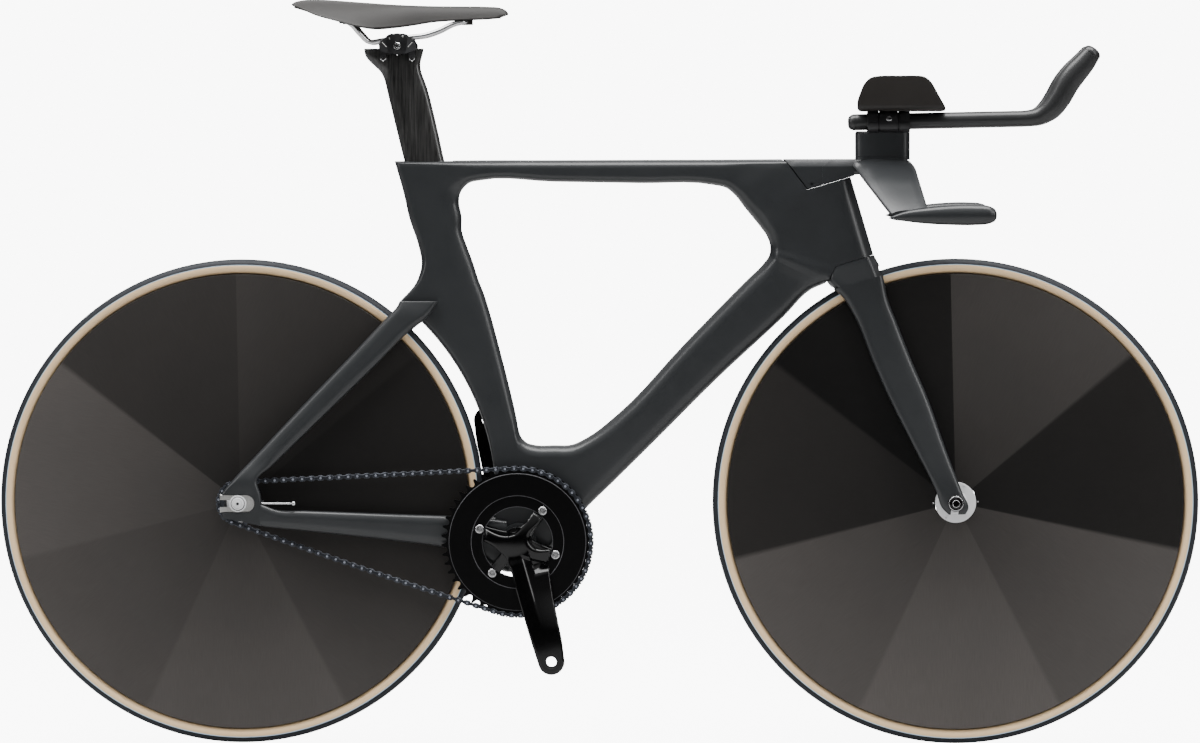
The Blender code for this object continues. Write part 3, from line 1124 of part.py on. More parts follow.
def base_bar():
    made = add_object("base_bar", stem_block(), PAINT, steering)
    boolean(made, helper("stem_limit", turn_steering(upper_cone_profile(-SEAM_GAP, 60))), "INTERSECT")
    x = bar_x(STEM_SPLIT)
    boolean(made, helper("stem_split", box((x - 120, -60, FRAME_TOP - 90), (x, 60, FRAME_TOP + 60))))
    z = FRAME_TOP + 0.7 - BAR_THICKNESS / 2
    half_right = [
        (0.0, 34.0, 115.0, z, BAR_THICKNESS / 2), (BAR_FLAT_HALF, 34.0, 115.0, z, BAR_THICKNESS / 2),
        (0.47 * BAR_HALF_SPAN, 40.0, 118.0, z - 4.5, BAR_THICKNESS / 2 - 1.0),
        (0.62 * BAR_HALF_SPAN, 55.0, 123.5, z - 18.5, BAR_THICKNESS / 2 - 2.0),
        (0.80 * BAR_HALF_SPAN, 70.5, 129.0, z - 39.5, BAR_THICKNESS / 2 - 2.6),
        (0.94 * BAR_HALF_SPAN, 81.5, 133.5, z - 57.0, BAR_THICKNESS / 2 - 3.0),
        (BAR_HALF_SPAN, 86.0, 135.0, z - 65.0, BAR_THICKNESS / 2 - 3.2),
    ]
    stations = [(-y, *rest) for y, *rest in reversed(half_right[1:])] + half_right
    rings = []
    for y, rear, front, height, half in stations:
        ring = section((bar_x(rear), height), (bar_x(front), height), 0, half, 30, 18)
        rings.append([(px, y, height + py) for px, py, _ in ring])
    boolean(made, helper("wing", loft(rings)), "UNION")
    horn_z = z - 66.0
    horn = ((81.0, -3.5, 0.12, 0.25), (100.0, -1.5, 0.46, 0.5), (128.0, -0.4, 0.78, 0.82), (160.0, 0.4, 0.97, 0.98),
            (200.0, 0.6, 1.0, 1.0), (214.0, 0.6, 0.92, 0.92), (222.0, 0.4, 0.70, 0.72), (226.0, 0.2, 0.34, 0.36))
    for side in (-1, 1):
        rings = [ellipse((bar_x(x), side * BAR_HALF_SPAN, horn_z + rise), HORN_HALF_WIDTH * wide, HORN_HALF_HEIGHT * tall, 12)
                 for x, rise, tall, wide in horn]
        boolean(made, helper("horn_right" if side < 0 else "horn_left", loft(rings)), "UNION")
    boolean(made, helper("stem_bore", turn_steering(stem_bore_profile(), 24)))


RISER_REAR = 36.5
RISER_FRONT = 111.0
CLAMP_REAR = 53.0


def riser(name, side):
    low = FRAME_TOP + 1.0 + GAP
    high = low + RISER_HEIGHT
    rings = []
    for z in (low, high):
        rings.append(slice_ring(bar_x(RISER_REAR), bar_x(RISER_FRONT), z, side * EXTENSION_SPREAD, RISER_HALF_WIDTH, 34, 16))
    add_object(name, loft(rings), PAINT, steering)


def extension_axis(offset):
    # Height of the extension's straight part, rising gently forwards
    base = FRAME_TOP + 1.0 + 2 * GAP + RISER_HEIGHT + CLAMP_WALL + EXTENSION_RADIUS + 1.2
    return base + (offset - 82.0) * tan(radians(EXTENSION_SLOPE))


def extension_clamp(name, side):
    tools = "right" if side < 0 else "left"
    y = side * EXTENSION_SPREAD
    low = FRAME_TOP + 1.0 + 2 * GAP + RISER_HEIGHT
    high = low + 2 * (CLAMP_WALL + EXTENSION_RADIUS) + 1.4
    half, c = CLAMP_HALF_WIDTH, 4.0
    shape = [(-half, low + c), (-half + c, low), (half - c, low), (half, low + c), (half, high - c), (half - c, high),
             (-half + c, high), (-half, high - c)]
    # Two grooves divide the clamp into its cap, body and cap
    rings = []
    start, end = bar_x(CLAMP_REAR), bar_x(CLAMP_REAR + CLAMP_LENGTH)
    first, second = start + 0.27 * CLAMP_LENGTH, end - 0.27 * CLAMP_LENGTH
    cuts = [(start, 0.0), (first - 1.0, 0.0), (first - 0.7, 0.9), (first + 0.7, 0.9), (first + 1.0, 0.0),
            (second - 1.0, 0.0), (second - 0.7, 0.9), (second + 0.7, 0.9), (second + 1.0, 0.0), (end, 0.0)]
    for x, depth in cuts:
        ring = []
        for sy, sz in shape:
            fy = sy * (1 - depth / half)
            ring.append((x, y + fy, sz))
        rings.append(ring)
    made = add_object(name, loft(rings), BLACK_ALLOY, steering)
    a, b = CLAMP_REAR - 20, CLAMP_REAR + CLAMP_LENGTH + 20
    bore = hole((bar_x(a), y, extension_axis(a)), (bar_x(b), y, extension_axis(b)), EXTENSION_RADIUS + GAP, 16)
    boolean(made, helper("clamp_bore_" + tools, bore))


GRIP = ((270.0, 0.4, 11.2), (288.0, 3.4, 12.6), (303.0, 13.5, 15.4), (314.0, 28.0, 16.6), (325.5, 48.0, 17.0),
        (336.5, 62.5, 16.6), (349.0, 76.0, 15.2), (359.0, 86.5, 13.8), (366.0, 93.5, 12.8))


def extension(name, side):
    y = side * EXTENSION_SPREAD
    points, radii = [], []
    for offset, radius in ((26.6, 3.5), (27.6, 7.2), (30.5, 10.2), (35.0, 11.1), (100.0, 11.1), (180.0, 11.1),
                           (250.0, 11.1)):
        points.append((bar_x(offset), y, extension_axis(offset)))
        radii.append(min(radius, EXTENSION_RADIUS))
    base = extension_axis(262.0)
    for offset, rise, radius in GRIP:
        points.append((bar_x(offset), y, base + rise))
        radii.append(radius * EXTENSION_RADIUS / 11.1)
    end = points[-1]
    heading = Vector(points[-1]) - Vector(points[-2])
    heading.normalize()
    for reach, radius in ((5.0, 11.2), (7.5, 7.8), (8.6, 3.5)):
        points.append(Vector(end) + heading * reach)
        radii.append(radius)
    return add_object(name, tube(points, radii, 10), PAINT, arm_pivots[side], 40)


CUP_REAR = 40.0


def cup_section(x, height, y, inset, wall):
    # A trough open at the top: along the outside, then back along the inside
    half = CUP_WIDTH / 2 - inset
    low = cup_base() + inset
    outside = [(half, low + height), (half, low + 6.0), (0.88 * half, low + 1.2), (0.5 * half, low)]
    inside = [(half - wall, low + height), (half - wall, low + wall + 1.2), (0.5 * half, low + wall)]
    ring = outside + [(-a, z) for a, z in reversed(outside)]
    ring += [(-a, z) for a, z in inside] + [(a, z) for a, z in reversed(inside)]
    return [(x, y + a, z) for a, z in ring]


CUP_STATIONS = ((0.0, 0.26), (0.045, 0.62), (0.13, 0.96), (0.22, 1.0), (0.62, 1.0), (0.72, 0.90), (0.86, 0.55), (1.0, 0.20))
CUP_SPREAD = 66.0


def cup_base():
    return FRAME_TOP + 1.0 + 3 * GAP + RISER_HEIGHT + 2 * (CLAMP_WALL + EXTENSION_RADIUS) + 1.4


def arm_cup(name, side):
    rings = [cup_section(bar_x(CUP_REAR + share * CUP_LENGTH), CUP_HEIGHT * height, side * CUP_SPREAD, 0.0, CUP_WALL)
             for share, height in CUP_STATIONS]
    add_object(name, loft(rings), BLACK_ALLOY, steering)


def arm_pad(name, side):
    inset = CUP_WALL + GAP + 0.3
    rings = []
    for share, height in CUP_STATIONS:
        tall = max(CUP_HEIGHT * height - inset - 3.0, PAD_THICKNESS + 0.5)
        rings.append(cup_section(bar_x(CUP_REAR + share * CUP_LENGTH), tall, side * CUP_SPREAD, inset, PAD_THICKNESS))
    add_object(name, loft(rings), FOAM, steering, 60)


# Seat
def post_head(z):
    return FRAME_TOP + z


def seatpost():
    low = FRAME_TOP - POST_INSERTION
    rings = [post_ring(z) for z in (low, FRAME_TOP, post_head(60.0), post_head(99.0))]
    top = POST_HEIGHT
    shape = ((top - 39.5, 0.2, -3.4), (top - 24.0, -8.5, -3.0), (top - 11.0, -18.6, 2.5), (top, -18.0, 7.4))
    for height, rear, front in shape:
        z = post_head(height)
        rings.append(slice_ring(post_rear(z) + rear, post_rear(z) + POST_CHORD + front, z, 0.0, POST_HALF_WIDTH, 20, 14))
    post = add_object("seatpost", loft(rings), BARE_CARBON, seat_slide)
    cx, cz = clamp_centre()
    trough = hole((cx, -20, cz), (cx, 20, cz), CLAMP_BARREL_RADIUS - 0.3 + GAP, 24)
    boolean(post, helper("clamp_trough", trough))
    holes = [hole((x, -20, z), (x, 20, z), 4.4 + GAP, 14) for x, z in barrel_places()]
    boolean(post, helper("barrel_holes", join(*holes)))


def clamp_centre():
    z = post_head(POST_HEIGHT) + 8.6
    return (post_rear(z) + 34.0, z)


def barrel_places():
    cx, cz = clamp_centre()
    return [(cx - 20.6, cz - 19.0), (cx + 19.2, cz - 19.0)]


RAIL_ANGLE = 6.5


def rail_height(x):
    cx, cz = clamp_centre()
    return cz + 7.0 + (x - cx) * tan(radians(RAIL_ANGLE))


def rail_path(side):
    cx, cz = clamp_centre()
    straight = [(-38.5, 0), (-22.0, 0), (0.0, 0), (20.0, 0), (36.0, 0)]
    points = [(cx - 72.0, side * 35.0, cz + 31.5), (cx - 64.0, side * 34.0, cz + 27.5), (cx - 52.0, side * 29.0, cz + 14.5)]
    points += [(cx + x, side * RAIL_SPREAD, rail_height(cx + x)) for x, _ in straight]
    points += [(cx + 56.0, side * 19.0, cz + 17.5), (cx + 76.0, side * 12.5, cz + 27.0), (cx + 90.0, side * 9.0, cz + 30.5)]
    return points


def rail_tube(radius, sides, beyond=0.0):
    cx, cz = clamp_centre()
    path = rail_path(-1) + [(cx + 96.0, 0.0, cz + 31.0)] + list(reversed(rail_path(1)))
    path[0] = Vector(path[0]) + (Vector(path[0]) - Vector(path[1])).normalized() * beyond
    path[-1] = Vector(path[-1]) + (Vector(path[-1]) - Vector(path[-2])).normalized() * beyond
    return tube(path, [radius] * len(path), sides)


def saddle_rails():
    add_object("saddle_rails", rail_tube(RAIL_RADIUS, 8), SILVER, saddle_slide, 60)


def saddle_clamp():
    cx, cz = clamp_centre()
    r = CLAMP_BARREL_RADIUS
    profile = [(0, -30), (r - 3, -30), (r, -28), (r, -15.5), (r - 3.4, -13.5), (r - 0.3, -10.5), (r - 0.3, 10.5),
               (r - 3.4, 13.5), (r, 15.5), (r, 28), (r - 3, 30), (0, 30)]
    made = add_object("saddle_clamp", turn(profile, (cx, 0, cz), segments=18), BLACK_ALLOY, saddle_tilt)
    grooves = []
    for side in (-1, 1):
        a, b = cx - 40, cx + 40
        grooves.append(hole((a, side * RAIL_SPREAD, rail_height(a)), (b, side * RAIL_SPREAD, rail_height(b)),
                           RAIL_RADIUS + GAP, 10))
    boolean(made, helper("rail_grooves", join(*grooves)))
    boolean(made, helper("clamp_bolt_hole", rod((cx, -40, cz - 3), (cx, 40, cz - 3), 3.2, 12)))
    bolt = [(0, -33), (4.8, -33), (4.8, -30.3), (2.9, -30.3), (2.9, 30.3), (4.8, 30.3), (4.8, 33), (0, 33)]
    add_object("saddle_clamp_bolt", turn(bolt, (cx, 0, cz - 3), segments=12), SILVER, saddle_tilt)
    for name, (x, z) in zip(("clamp_barrel_rear", "clamp_barrel_front"), barrel_places()):
        barrel = turn([(0, -12.5), (4.4, -12.5), (4.4, 12.5), (0, 12.5)], (x, 0, z), segments=12)
        add_object(name, barrel, SILVER, seat_slide)


# Saddle: distance from the tail, top height, edge height and half width, heights over the clamp centre
SADDLE_STATIONS = (
    (0.000, 56.0, 55.0, 0.36), (0.014, 58.5, 53.0, 0.60), (0.050, 60.8, 49.0, 0.80), (0.120, 61.5, 40.0, 0.96),
    (0.210, 60.0, 32.5, 1.00), (0.300, 58.0, 25.5, 0.93), (0.370, 56.5, 22.5, 0.76), (0.450, 54.8, 23.5, 0.52),
    (0.540, 53.4, 26.5, 0.36), (0.650, 52.3, 31.5, 0.29), (0.780, 51.8, 34.0, 0.27), (0.900, 51.2, 35.5, 0.25),
    (0.965, 49.5, 38.0, 0.20), (0.990, 46.0, 40.5, 0.14), (1.000, 42.5, 41.0, 0.06),
)


def saddle_body(stations, spread, low_share, thickness, clearance):
    # Rings of a hollow form: the cover, or the shell that nests inside it
    cx, cz = clamp_centre()
    rings = []
    for share, top, edge, wide in stations:
        half = wide * SADDLE_WIDTH / 2
        x = cx - 145.6 + share * SADDLE_LENGTH
        outer, inner = [], []
        for t in spread:
            fall = (top - edge) * abs(t) ** 2.6
            pad = 1.6 + (min(SADDLE_PAD, 0.6 * (top - edge) + 1.0) - 1.6) * (1 - t * t)
            under = cz + top - fall - pad
            if clearance:
                outer.append((x, low_share * half * t, under - clearance))
                inner.append((x, (low_share - 0.04) * half * t, under - clearance - thickness))
            else:
                outer.append((x, half * t, cz + top - fall))
                inner.append((x, low_share * half * t, under))
        rings.append(outer + inner[::-1])
    bm = loft(rings)
    bmesh.ops.triangulate(bm, faces=bm.faces, quad_method="SHORT_EDGE")
    return bm


def saddle():
    cover = saddle_body(SADDLE_STATIONS, (1.0, 0.88, 0.55, 0.0, -0.55, -0.88, -1.0), 0.94, 0.0, 0.0)
    add_object("saddle_cover", cover, LEATHER, saddle_slide, 50)
    shell = saddle_body(SADDLE_STATIONS[1:-2], (0.88, 0.55, 0.0, -0.55, -0.88), 0.94, SADDLE_SHELL, 0.5)
    made = add_object("saddle_shell", shell, BARE_CARBON, saddle_slide, 50)
    # Sockets that the rails plug into, two under the tail and one under the nose
    cx, cz = clamp_centre()
    spread = (0.88, 0.55, 0.0, -0.55, -0.88)
    for name, x, y in (("nose", 94.5, 0.0), ("right", -71.0, -34.6), ("left", -71.0, 34.6)):
        base = 26.0 if y == 0.0 else 28.0
        block = helper(name + "_socket", box((cx + x - 8.0, y - 7.0, cz + base), (cx + x + 8.0, y + 7.0, cz + 50.0)))
        inside = saddle_body(SADDLE_STATIONS[1:-2], spread, 0.94, 24.0, 1.2)
        boolean(block, helper(name + "_socket_limit", inside), "INTERSECT")
        boolean(made, block, "UNION")
    boolean(made, helper("rail_channels", rail_tube((RAIL_RADIUS + GAP) / cos(pi / 8), 8, GAP)))


clamp_x, clamp_z = post_rear(FRAME_TOP) + 10.0, FRAME_TOP
seat_slide = pivot("seat_post_line", clamp_x, 0.0, clamp_z)
saddle_tilt = pivot("saddle_tilt_axis", clamp_centre()[0], 0.0, clamp_centre()[1], seat_slide)
saddle_slide = pivot("saddle_rail_line", clamp_centre()[0], 0.0, rail_height(clamp_centre()[0]), saddle_tilt)
arm_pivots = {
    -1: pivot("extension_line_right", bar_x(82), -EXTENSION_SPREAD, extension_axis(82), steering),
    1: pivot("extension_line_left", bar_x(82), EXTENSION_SPREAD, extension_axis(82), steering),
}

main_frame()
seat_wedge()
for side_name, hand in (("right", -1), ("left", 1)):
    rear_stay("rear_stay_" + side_name, hand)
    dropout("dropout_" + side_name, hand)
    tensioner("tensioner_" + side_name, hand)
    seat_y = REAR_HUB_SPACING / 2 + DROPOUT_THICKNESS
    axle_bolt("rear_axle_bolt_" + side_name, REAR_AXLE, hand, seat_y, AXLE_BOLT_RADIUS, SILVER)
    bb_cup("bb_cup_" + side_name, hand)
    seat_y = FRONT_HUB_SPACING / 2 + 10.8
    axle_bolt("front_axle_bolt_" + side_name, FRONT_AXLE, hand, seat_y, AXLE_BOLT_RADIUS + 0.5, BLACK_ALLOY, steering)
    riser("riser_" + side_name, hand)
    extension_clamp("extension_clamp_" + side_name, hand)
    extension("extension_" + side_name, hand)
    arm_cup("arm_cup_" + side_name, hand)
    arm_pad("arm_pad_" + side_name, hand)
axle("rear_axle", REAR_AXLE, REAR_HUB_SPACING, REAR_HUB_SPACING / 2 + DROPOUT_THICKNESS - 1.0)
axle("front_axle", FRONT_AXLE, FRONT_HUB_SPACING, FRONT_HUB_SPACING / 2 + 9.5, steering)
headset_bearing("headset_bearing_lower", LOWER_SEAM + GAP, LOWER_SEAM + BEARING_HEIGHT)
headset_bearing("headset_bearing_upper", UPPER_SEAM - BEARING_HEIGHT, UPPER_SEAM - GAP)
chain()
chainring()
chainring_bolts()
crank_right()
crank_left()
spindle()
wheel("rear", REAR_AXLE, REAR_DISC_HUB_HALF, rear_spin)
rear_hub()
cog()
wheel("front", FRONT_AXLE, FRONT_DISC_HUB_HALF, front_spin)
front_hub()
fork()
stem_tail()
base_bar()
seatpost()
saddle_clamp()
saddle_rails()
saddle()
print("chain links", len(CHAIN_PINS), "chain stay", round(CHAINSTAY_LENGTH, 2), "bottom bracket", BB)
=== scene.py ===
import json
from math import acos, asin, atan2, cos, hypot, pi, radians, sin, sqrt, tan

import bmesh
import bpy
from mathutils import Matrix, Vector


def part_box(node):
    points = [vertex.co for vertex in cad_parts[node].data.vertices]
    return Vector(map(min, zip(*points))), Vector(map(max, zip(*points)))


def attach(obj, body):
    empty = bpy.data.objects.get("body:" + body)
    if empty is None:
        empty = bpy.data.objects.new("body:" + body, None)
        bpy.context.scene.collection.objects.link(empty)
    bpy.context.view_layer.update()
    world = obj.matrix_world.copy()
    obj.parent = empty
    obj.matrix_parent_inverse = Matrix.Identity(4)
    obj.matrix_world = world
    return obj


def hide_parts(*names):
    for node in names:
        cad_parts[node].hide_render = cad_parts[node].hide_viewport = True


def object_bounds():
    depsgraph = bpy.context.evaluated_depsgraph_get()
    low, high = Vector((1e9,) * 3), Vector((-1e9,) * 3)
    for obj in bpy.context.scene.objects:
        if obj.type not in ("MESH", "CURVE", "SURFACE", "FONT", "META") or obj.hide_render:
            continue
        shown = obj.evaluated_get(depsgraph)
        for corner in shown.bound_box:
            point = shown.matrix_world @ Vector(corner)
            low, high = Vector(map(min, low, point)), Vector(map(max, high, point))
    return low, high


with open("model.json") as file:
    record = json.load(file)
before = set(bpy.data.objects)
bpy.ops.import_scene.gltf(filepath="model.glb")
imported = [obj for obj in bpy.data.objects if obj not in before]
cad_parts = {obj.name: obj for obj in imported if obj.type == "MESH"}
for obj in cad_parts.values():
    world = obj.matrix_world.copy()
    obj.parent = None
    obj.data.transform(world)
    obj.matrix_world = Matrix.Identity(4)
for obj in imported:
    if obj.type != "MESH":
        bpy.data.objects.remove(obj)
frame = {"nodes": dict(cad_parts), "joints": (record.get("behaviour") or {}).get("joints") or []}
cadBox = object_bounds()
print("frame loaded")


# Nodes: a value is a number, a colour or the output of another node, which knows its own tree
def plug(value, entry):
    if isinstance(value, bpy.types.NodeSocket):
        entry.id_data.links.new(value, entry)
    elif entry.type == "RGBA":
        entry.default_value = (*value, 1.0)
    else:
        entry.default_value = value


def fill(node, values):
    for name, value in values.items():
        plug(value, node.inputs[name])


def addNode(tree, kind, **settings):
    node = tree.nodes.new("ShaderNode" + kind)
    for name, value in settings.items():
        if name in node.inputs:
            plug(value, node.inputs[name])
        else:
            setattr(node, name, value)
    return node


def calc(operation, a, b=0.0, clamp=False):
    owner = a if isinstance(a, bpy.types.NodeSocket) else b
    node = addNode(owner.id_data, "Math", operation=operation, use_clamp=clamp)
    plug(a, node.inputs[0])
    plug(b, node.inputs[1])
    return node.outputs[0]


def plus(a, b):
    return calc("ADD", a, b)


def minus(a, b):
    return calc("SUBTRACT", a, b)


def times(a, b):
    return calc("MULTIPLY", a, b)


def between(value, low, high):
    return plus(times(value, high - low), low)


def mapRange(value, low, high, toLow=0.0, toHigh=1.0, **settings):
    node = addNode(value.id_data, "MapRange", Value=value, **settings)
    fill(node, {"From Min": low, "From Max": high, "To Min": toLow, "To Max": toHigh})
    return node.outputs["Result"]


def newObject(name, data):
    obj = bpy.data.objects.new(name, data)
    bpy.context.scene.collection.objects.link(obj)
    return obj


# Camera square to the drive side, a little above the axles
picture = {"distance": 9.1, "width": 1.6535, "height": 0.4890, "aimX": 0.4954, "aimZ": 0.1790,
           "eyeX": 0.7854, "roll": -0.0015}


def makeCamera():
    data = bpy.data.cameras.new("camera")
    data.lens = data.sensor_width * picture["distance"] / picture["width"]
    camera = newObject("camera", data)
    camera.location = (picture["eyeX"], -picture["distance"], picture["height"])
    aim = Vector((picture["aimX"], 0, picture["aimZ"])) - camera.location
    look = aim.to_track_quat("-Z", "Y").to_matrix() @ Matrix.Rotation(picture["roll"], 3, "Z")
    camera.rotation_euler = look.to_euler()
    bpy.context.scene.camera = camera


# Studio: broad overhead box, two strip boxes fore and aft, a weak wash from the front and from behind
studio = {
    "lamps": (  # name, place, aim, size, power, whether shiny surfaces show it
        ("overheadBox", (0.5, -0.35, 2.7), (0.5, 0, 0.1), (3.6, 1.5), 165, True),
        ("noseStrip", (3.4, -1.6, 1.5), (0.7, 0, 0.2), (0.7, 2.2), 26, True),
        ("tailStrip", (-2.4, -1.6, 1.5), (0.3, 0, 0.2), (0.7, 2.2), 26, True),
        ("frontWash", (0.5, -4.2, 2.6), (0.5, 0, 0.1), (3.2, 1.2), 30, False),
        ("backWash", (0.5, 4.2, 2.4), (0.5, 0, 0.1), (3.2, 1.2), 22, True)),
    "sky": 0.8, "horizon": 0.01, "backdrop": 9.0, "floorGlow": 8.55, "floorTone": 0.5,
    "floorReach": 9.0, "floorClear": 1.5, "floorFade": 5.5}


def makeStudio():
    for name, place, aim, size, power, shows in studio["lamps"]:
        data = bpy.data.lights.new(name, "AREA")
        data.shape = "RECTANGLE"
        data.size, data.size_y = size
        data.energy = power
        lamp = newObject(name, data)
        lamp.location = place
        lamp.visible_glossy = shows
        lamp.rotation_euler = (Vector(aim) - Vector(place)).to_track_quat("-Z", "Y").to_euler()
    world = bpy.data.worlds.new("studio")
    bpy.context.scene.world = world
    world.use_nodes = True
    tree = world.node_tree
    way = addNode(tree, "SeparateXYZ", Vector=addNode(tree, "TexCoord").outputs["Generated"])
    # Dark horizon under a bright ceiling; the camera sees a brighter backdrop past the floor
    rise = mapRange(way.outputs["Z"], 0.1, 0.8, studio["horizon"], studio["sky"])
    rays = addNode(tree, "LightPath").outputs["Is Camera Ray"]
    level = addNode(tree, "Mix", Factor=rays, A=rise, B=studio["backdrop"])
    fill(tree.nodes["Background"], {"Color": (1, 1, 1), "Strength": level.outputs["Result"]})


def makeFloor():
    ground, middle, reach = cadBox[0].z, (cadBox[0].x + cadBox[1].x) / 2, studio["floorReach"]
    mesh = bpy.data.meshes.new("floor")
    corners = ((-reach, -reach), (reach, -reach), (reach, reach), (-reach, reach))
    mesh.from_pydata([(middle + a, b, ground) for a, b in corners], [], [(0, 1, 2, 3)])
    paint = bpy.data.materials.new("studioFloor")
    paint.use_nodes = True
    tree = paint.node_tree
    rays = addNode(tree, "LightPath").outputs["Is Camera Ray"]
    away = addNode(tree, "VectorMath", operation="DISTANCE")
    plug(addNode(tree, "TexCoord").outputs["Object"], away.inputs[0])
    plug((middle, 0, ground), away.inputs[1])
    fade = mapRange(away.outputs["Value"], studio["floorClear"], studio["floorFade"], 1.0, 0.0,
                    interpolation_type="SMOOTHSTEP")
    fill(tree.nodes["Principled BSDF"], {
        "Base Color": [studio["floorTone"]] * 3, "Roughness": 0.9, "Specular IOR Level": 0.1,
        "Emission Color": (1, 1, 1), "Emission Strength": times(rays, studio["floorGlow"]), "Alpha": fade})
    mesh.materials.append(paint)
    newObject("floor", mesh)


makeCamera()
makeStudio()
makeFloor()
print("camera, light and floor ready")

# Places that the frame's joints give, in millimetres from the rear axle
joints = {joint["name"]: joint for joint in frame["joints"]}
gap = 0.3
hands = ((-1, "right"), (1, "left"))
materials = {}  # each finish's material and slot


def jointPlace(name):
    return Vector(joints[name]["pos_m"]) * 1000


def nodeBox(name):
    low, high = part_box(name)
    return low * 1000, high * 1000


def nodeRadius(name):
    low, high = nodeBox(name)
    return (high.z - low.z) / 2


def placesFrom(origin):
    return lambda x, z: (origin.x + x, origin.z + z)


rearAxle, frontAxle = jointPlace("rear_wheel_spin"), jointPlace("front_wheel_spin")
bracket, headFoot = jointPlace("crank_spin"), jointPlace("steering_turn")
fromRear, fromFront, fromBracket = placesFrom(rearAxle), placesFrom(frontAxle), placesFrom(bracket)
bracketMiddle = (bracket.x, 0, bracket.z)
steerUp = Vector(joints["steering_turn"]["axis"]).normalized()
steerForward = Vector((steerUp.z, 0, -steerUp.x))


def steer(along, forward=0.0):  # along the steering axis from the lower seam, and forward of it
    place = headFoot + steerUp * along + steerForward * forward
    return (place.x, place.z)


def turns(start, end, count):
    return [start + (end - start) * i / count for i in range(count + 1)]


def arc(centre, radius, start, end, count):  # in X and Z, from +X towards +Z
    return [(centre[0] + radius * cos(t), centre[1] + radius * sin(t)) for t in turns(start, end, count)]


def circle(centre, radius, count=48):
    return arc(centre, radius, 0.0, 2 * pi, count)[:-1]


def onCircle(centre, radius, angle):
    return centre.x + radius * cos(angle), centre.z + radius * sin(angle)


def mirrored(side):  # radius and distance, then the same with the distance turned round
    return side + [(radius, -along) for radius, along in side[::-1] if along]


def paired(side):
    return side + [(-a, b) for a, b in side[::-1]]


# Mesh making
def flowing(points, steps, closed=False, corners=()):
    # A smooth curve through rows of numbers; it breaks at the corners
    points = [tuple(map(float, point)) for point in points]
    count = len(points)

    def apart(a, b):
        return max(1e-6, sqrt(sum((p - q) ** 2 for p, q in zip(a, b))))

    def tangent(i, outgoing):
        here, before, after = points[i], points[i - 1], points[(i + 1) % count]
        first, last = not closed and i == 0, not closed and i == count - 1
        if first or (i in corners and outgoing and not last):
            return [(q - p) / apart(here, after) for p, q in zip(here, after)]
        if last or i in corners:
            return [(q - p) / apart(before, here) for p, q in zip(before, here)]
        m, n = apart(before, here), apart(here, after)
        return [((b - a) / m * n + (c - b) / n * m) / (m + n) for a, b, c in zip(before, here, after)]

    curve = []
    for i in range(count if closed else count - 1):
        a, b = points[i], points[(i + 1) % count]
        length = apart(a, b)
        leave, arrive = tangent(i, True), tangent((i + 1) % count, False)
        for step in range(steps):
            t = step / steps
            h1, h2 = 2 * t ** 3 - 3 * t ** 2 + 1, -2 * t ** 3 + 3 * t ** 2
            h3, h4 = t ** 3 - 2 * t ** 2 + t, t ** 3 - t ** 2
            curve.append(tuple(h1 * p + h2 * q + (h3 * u + h4 * v) * length
                               for p, q, u, v in zip(a, b, leave, arrive)))
    return curve if closed else curve + [points[-1]]


def bladeRing(a, b, y, half, roundA, roundB, curve=7, flat=5, crown=0.0):
    # A ring with rounded ends and nearly flat sides, its chord from a to b in X and Z
    length = hypot(b[0] - a[0], b[1] - a[1])
    ux, uz = (b[0] - a[0]) / length, (b[1] - a[1]) / length
    roundA, roundB = min(roundA, 0.48 * length), min(roundB, 0.48 * length)
    ends = [pi / 2 * i / curve for i in range(curve + 1)]
    side = [(roundA * (1 - cos(t)), half * sin(t)) for t in ends]
    side += [(roundA + (length - roundA - roundB) * i / flat, half) for i in range(1, flat)]
    side += [(length - roundB * (1 - cos(t)), half * sin(t)) for t in ends[::-1]]
    if crown:
        side = [(c, h * (1 - crown + crown * 4 * (c / length) * (1 - c / length))) for c, h in side]
    ring = side + [(c, -h) for c, h in reversed(side[1:-1])]
    return [(a[0] + ux * c, y + h, a[1] + uz * c) for c, h in ring]


def chord(row):
    # Both ends of a blade's chord; a row names the place it counts from, or one for each end
    start, a, b, *rest = row
    end = rest.pop(0) if callable(rest[0]) else start
    return start(a, b), end(rest[0], rest[1]), *rest[2:]


def blades(rows, steps, side=1):
    # Rings through rows of chord, middle y, half thickness and two roundings
    flat = [(*start, *end, *rest) for start, end, *rest in map(chord, rows)]
    return [bladeRing((ax, az), (bx, bz), side * y, half, first, second, crown=0.03)
            for ax, az, bx, bz, y, half, first, second in flowing(flat, steps)]


def skin(rings, closed=False):
    bm = bmesh.new()
    loops = [[bm.verts.new(point) for point in ring] for ring in rings]
    pairs = list(zip(loops, loops[1:]))
    if closed:
        pairs.append((loops[-1], loops[0]))
    for first, second in pairs:
        for i in range(len(first)):
            bm.faces.new((first[i - 1], first[i], second[i], second[i - 1]))
    if not closed:
        bm.faces.new(loops[0])
        bm.faces.new(loops[-1])
    return bm


def lathe(profile, centre, axis=(0, 1, 0), segments=96, closed=False):
    # Turns (radius, distance along the axis) rows; a radius of 0 is a point on the axis
    axis = Vector(axis).normalized()
    across = axis.orthogonal().normalized()
    other = axis.cross(across)
    bm = bmesh.new()
    rows = []
    for radius, along in profile:
        middle = Vector(centre) + axis * along
        if radius == 0:
            rows.append([bm.verts.new(middle)] * segments)
        else:
            angles = [2 * pi * i / segments for i in range(segments)]
            rows.append([bm.verts.new(middle + (across * cos(t) + other * sin(t)) * radius) for t in angles])
    pairs = list(zip(rows, rows[1:]))
    if closed:
        pairs.append((rows[-1], rows[0]))
    for first, second in pairs:
        for i in range(segments):
            corners = list(dict.fromkeys((first[i - 1], first[i], second[i], second[i - 1])))
            if len(corners) > 2:
                bm.faces.new(corners)
    return bm


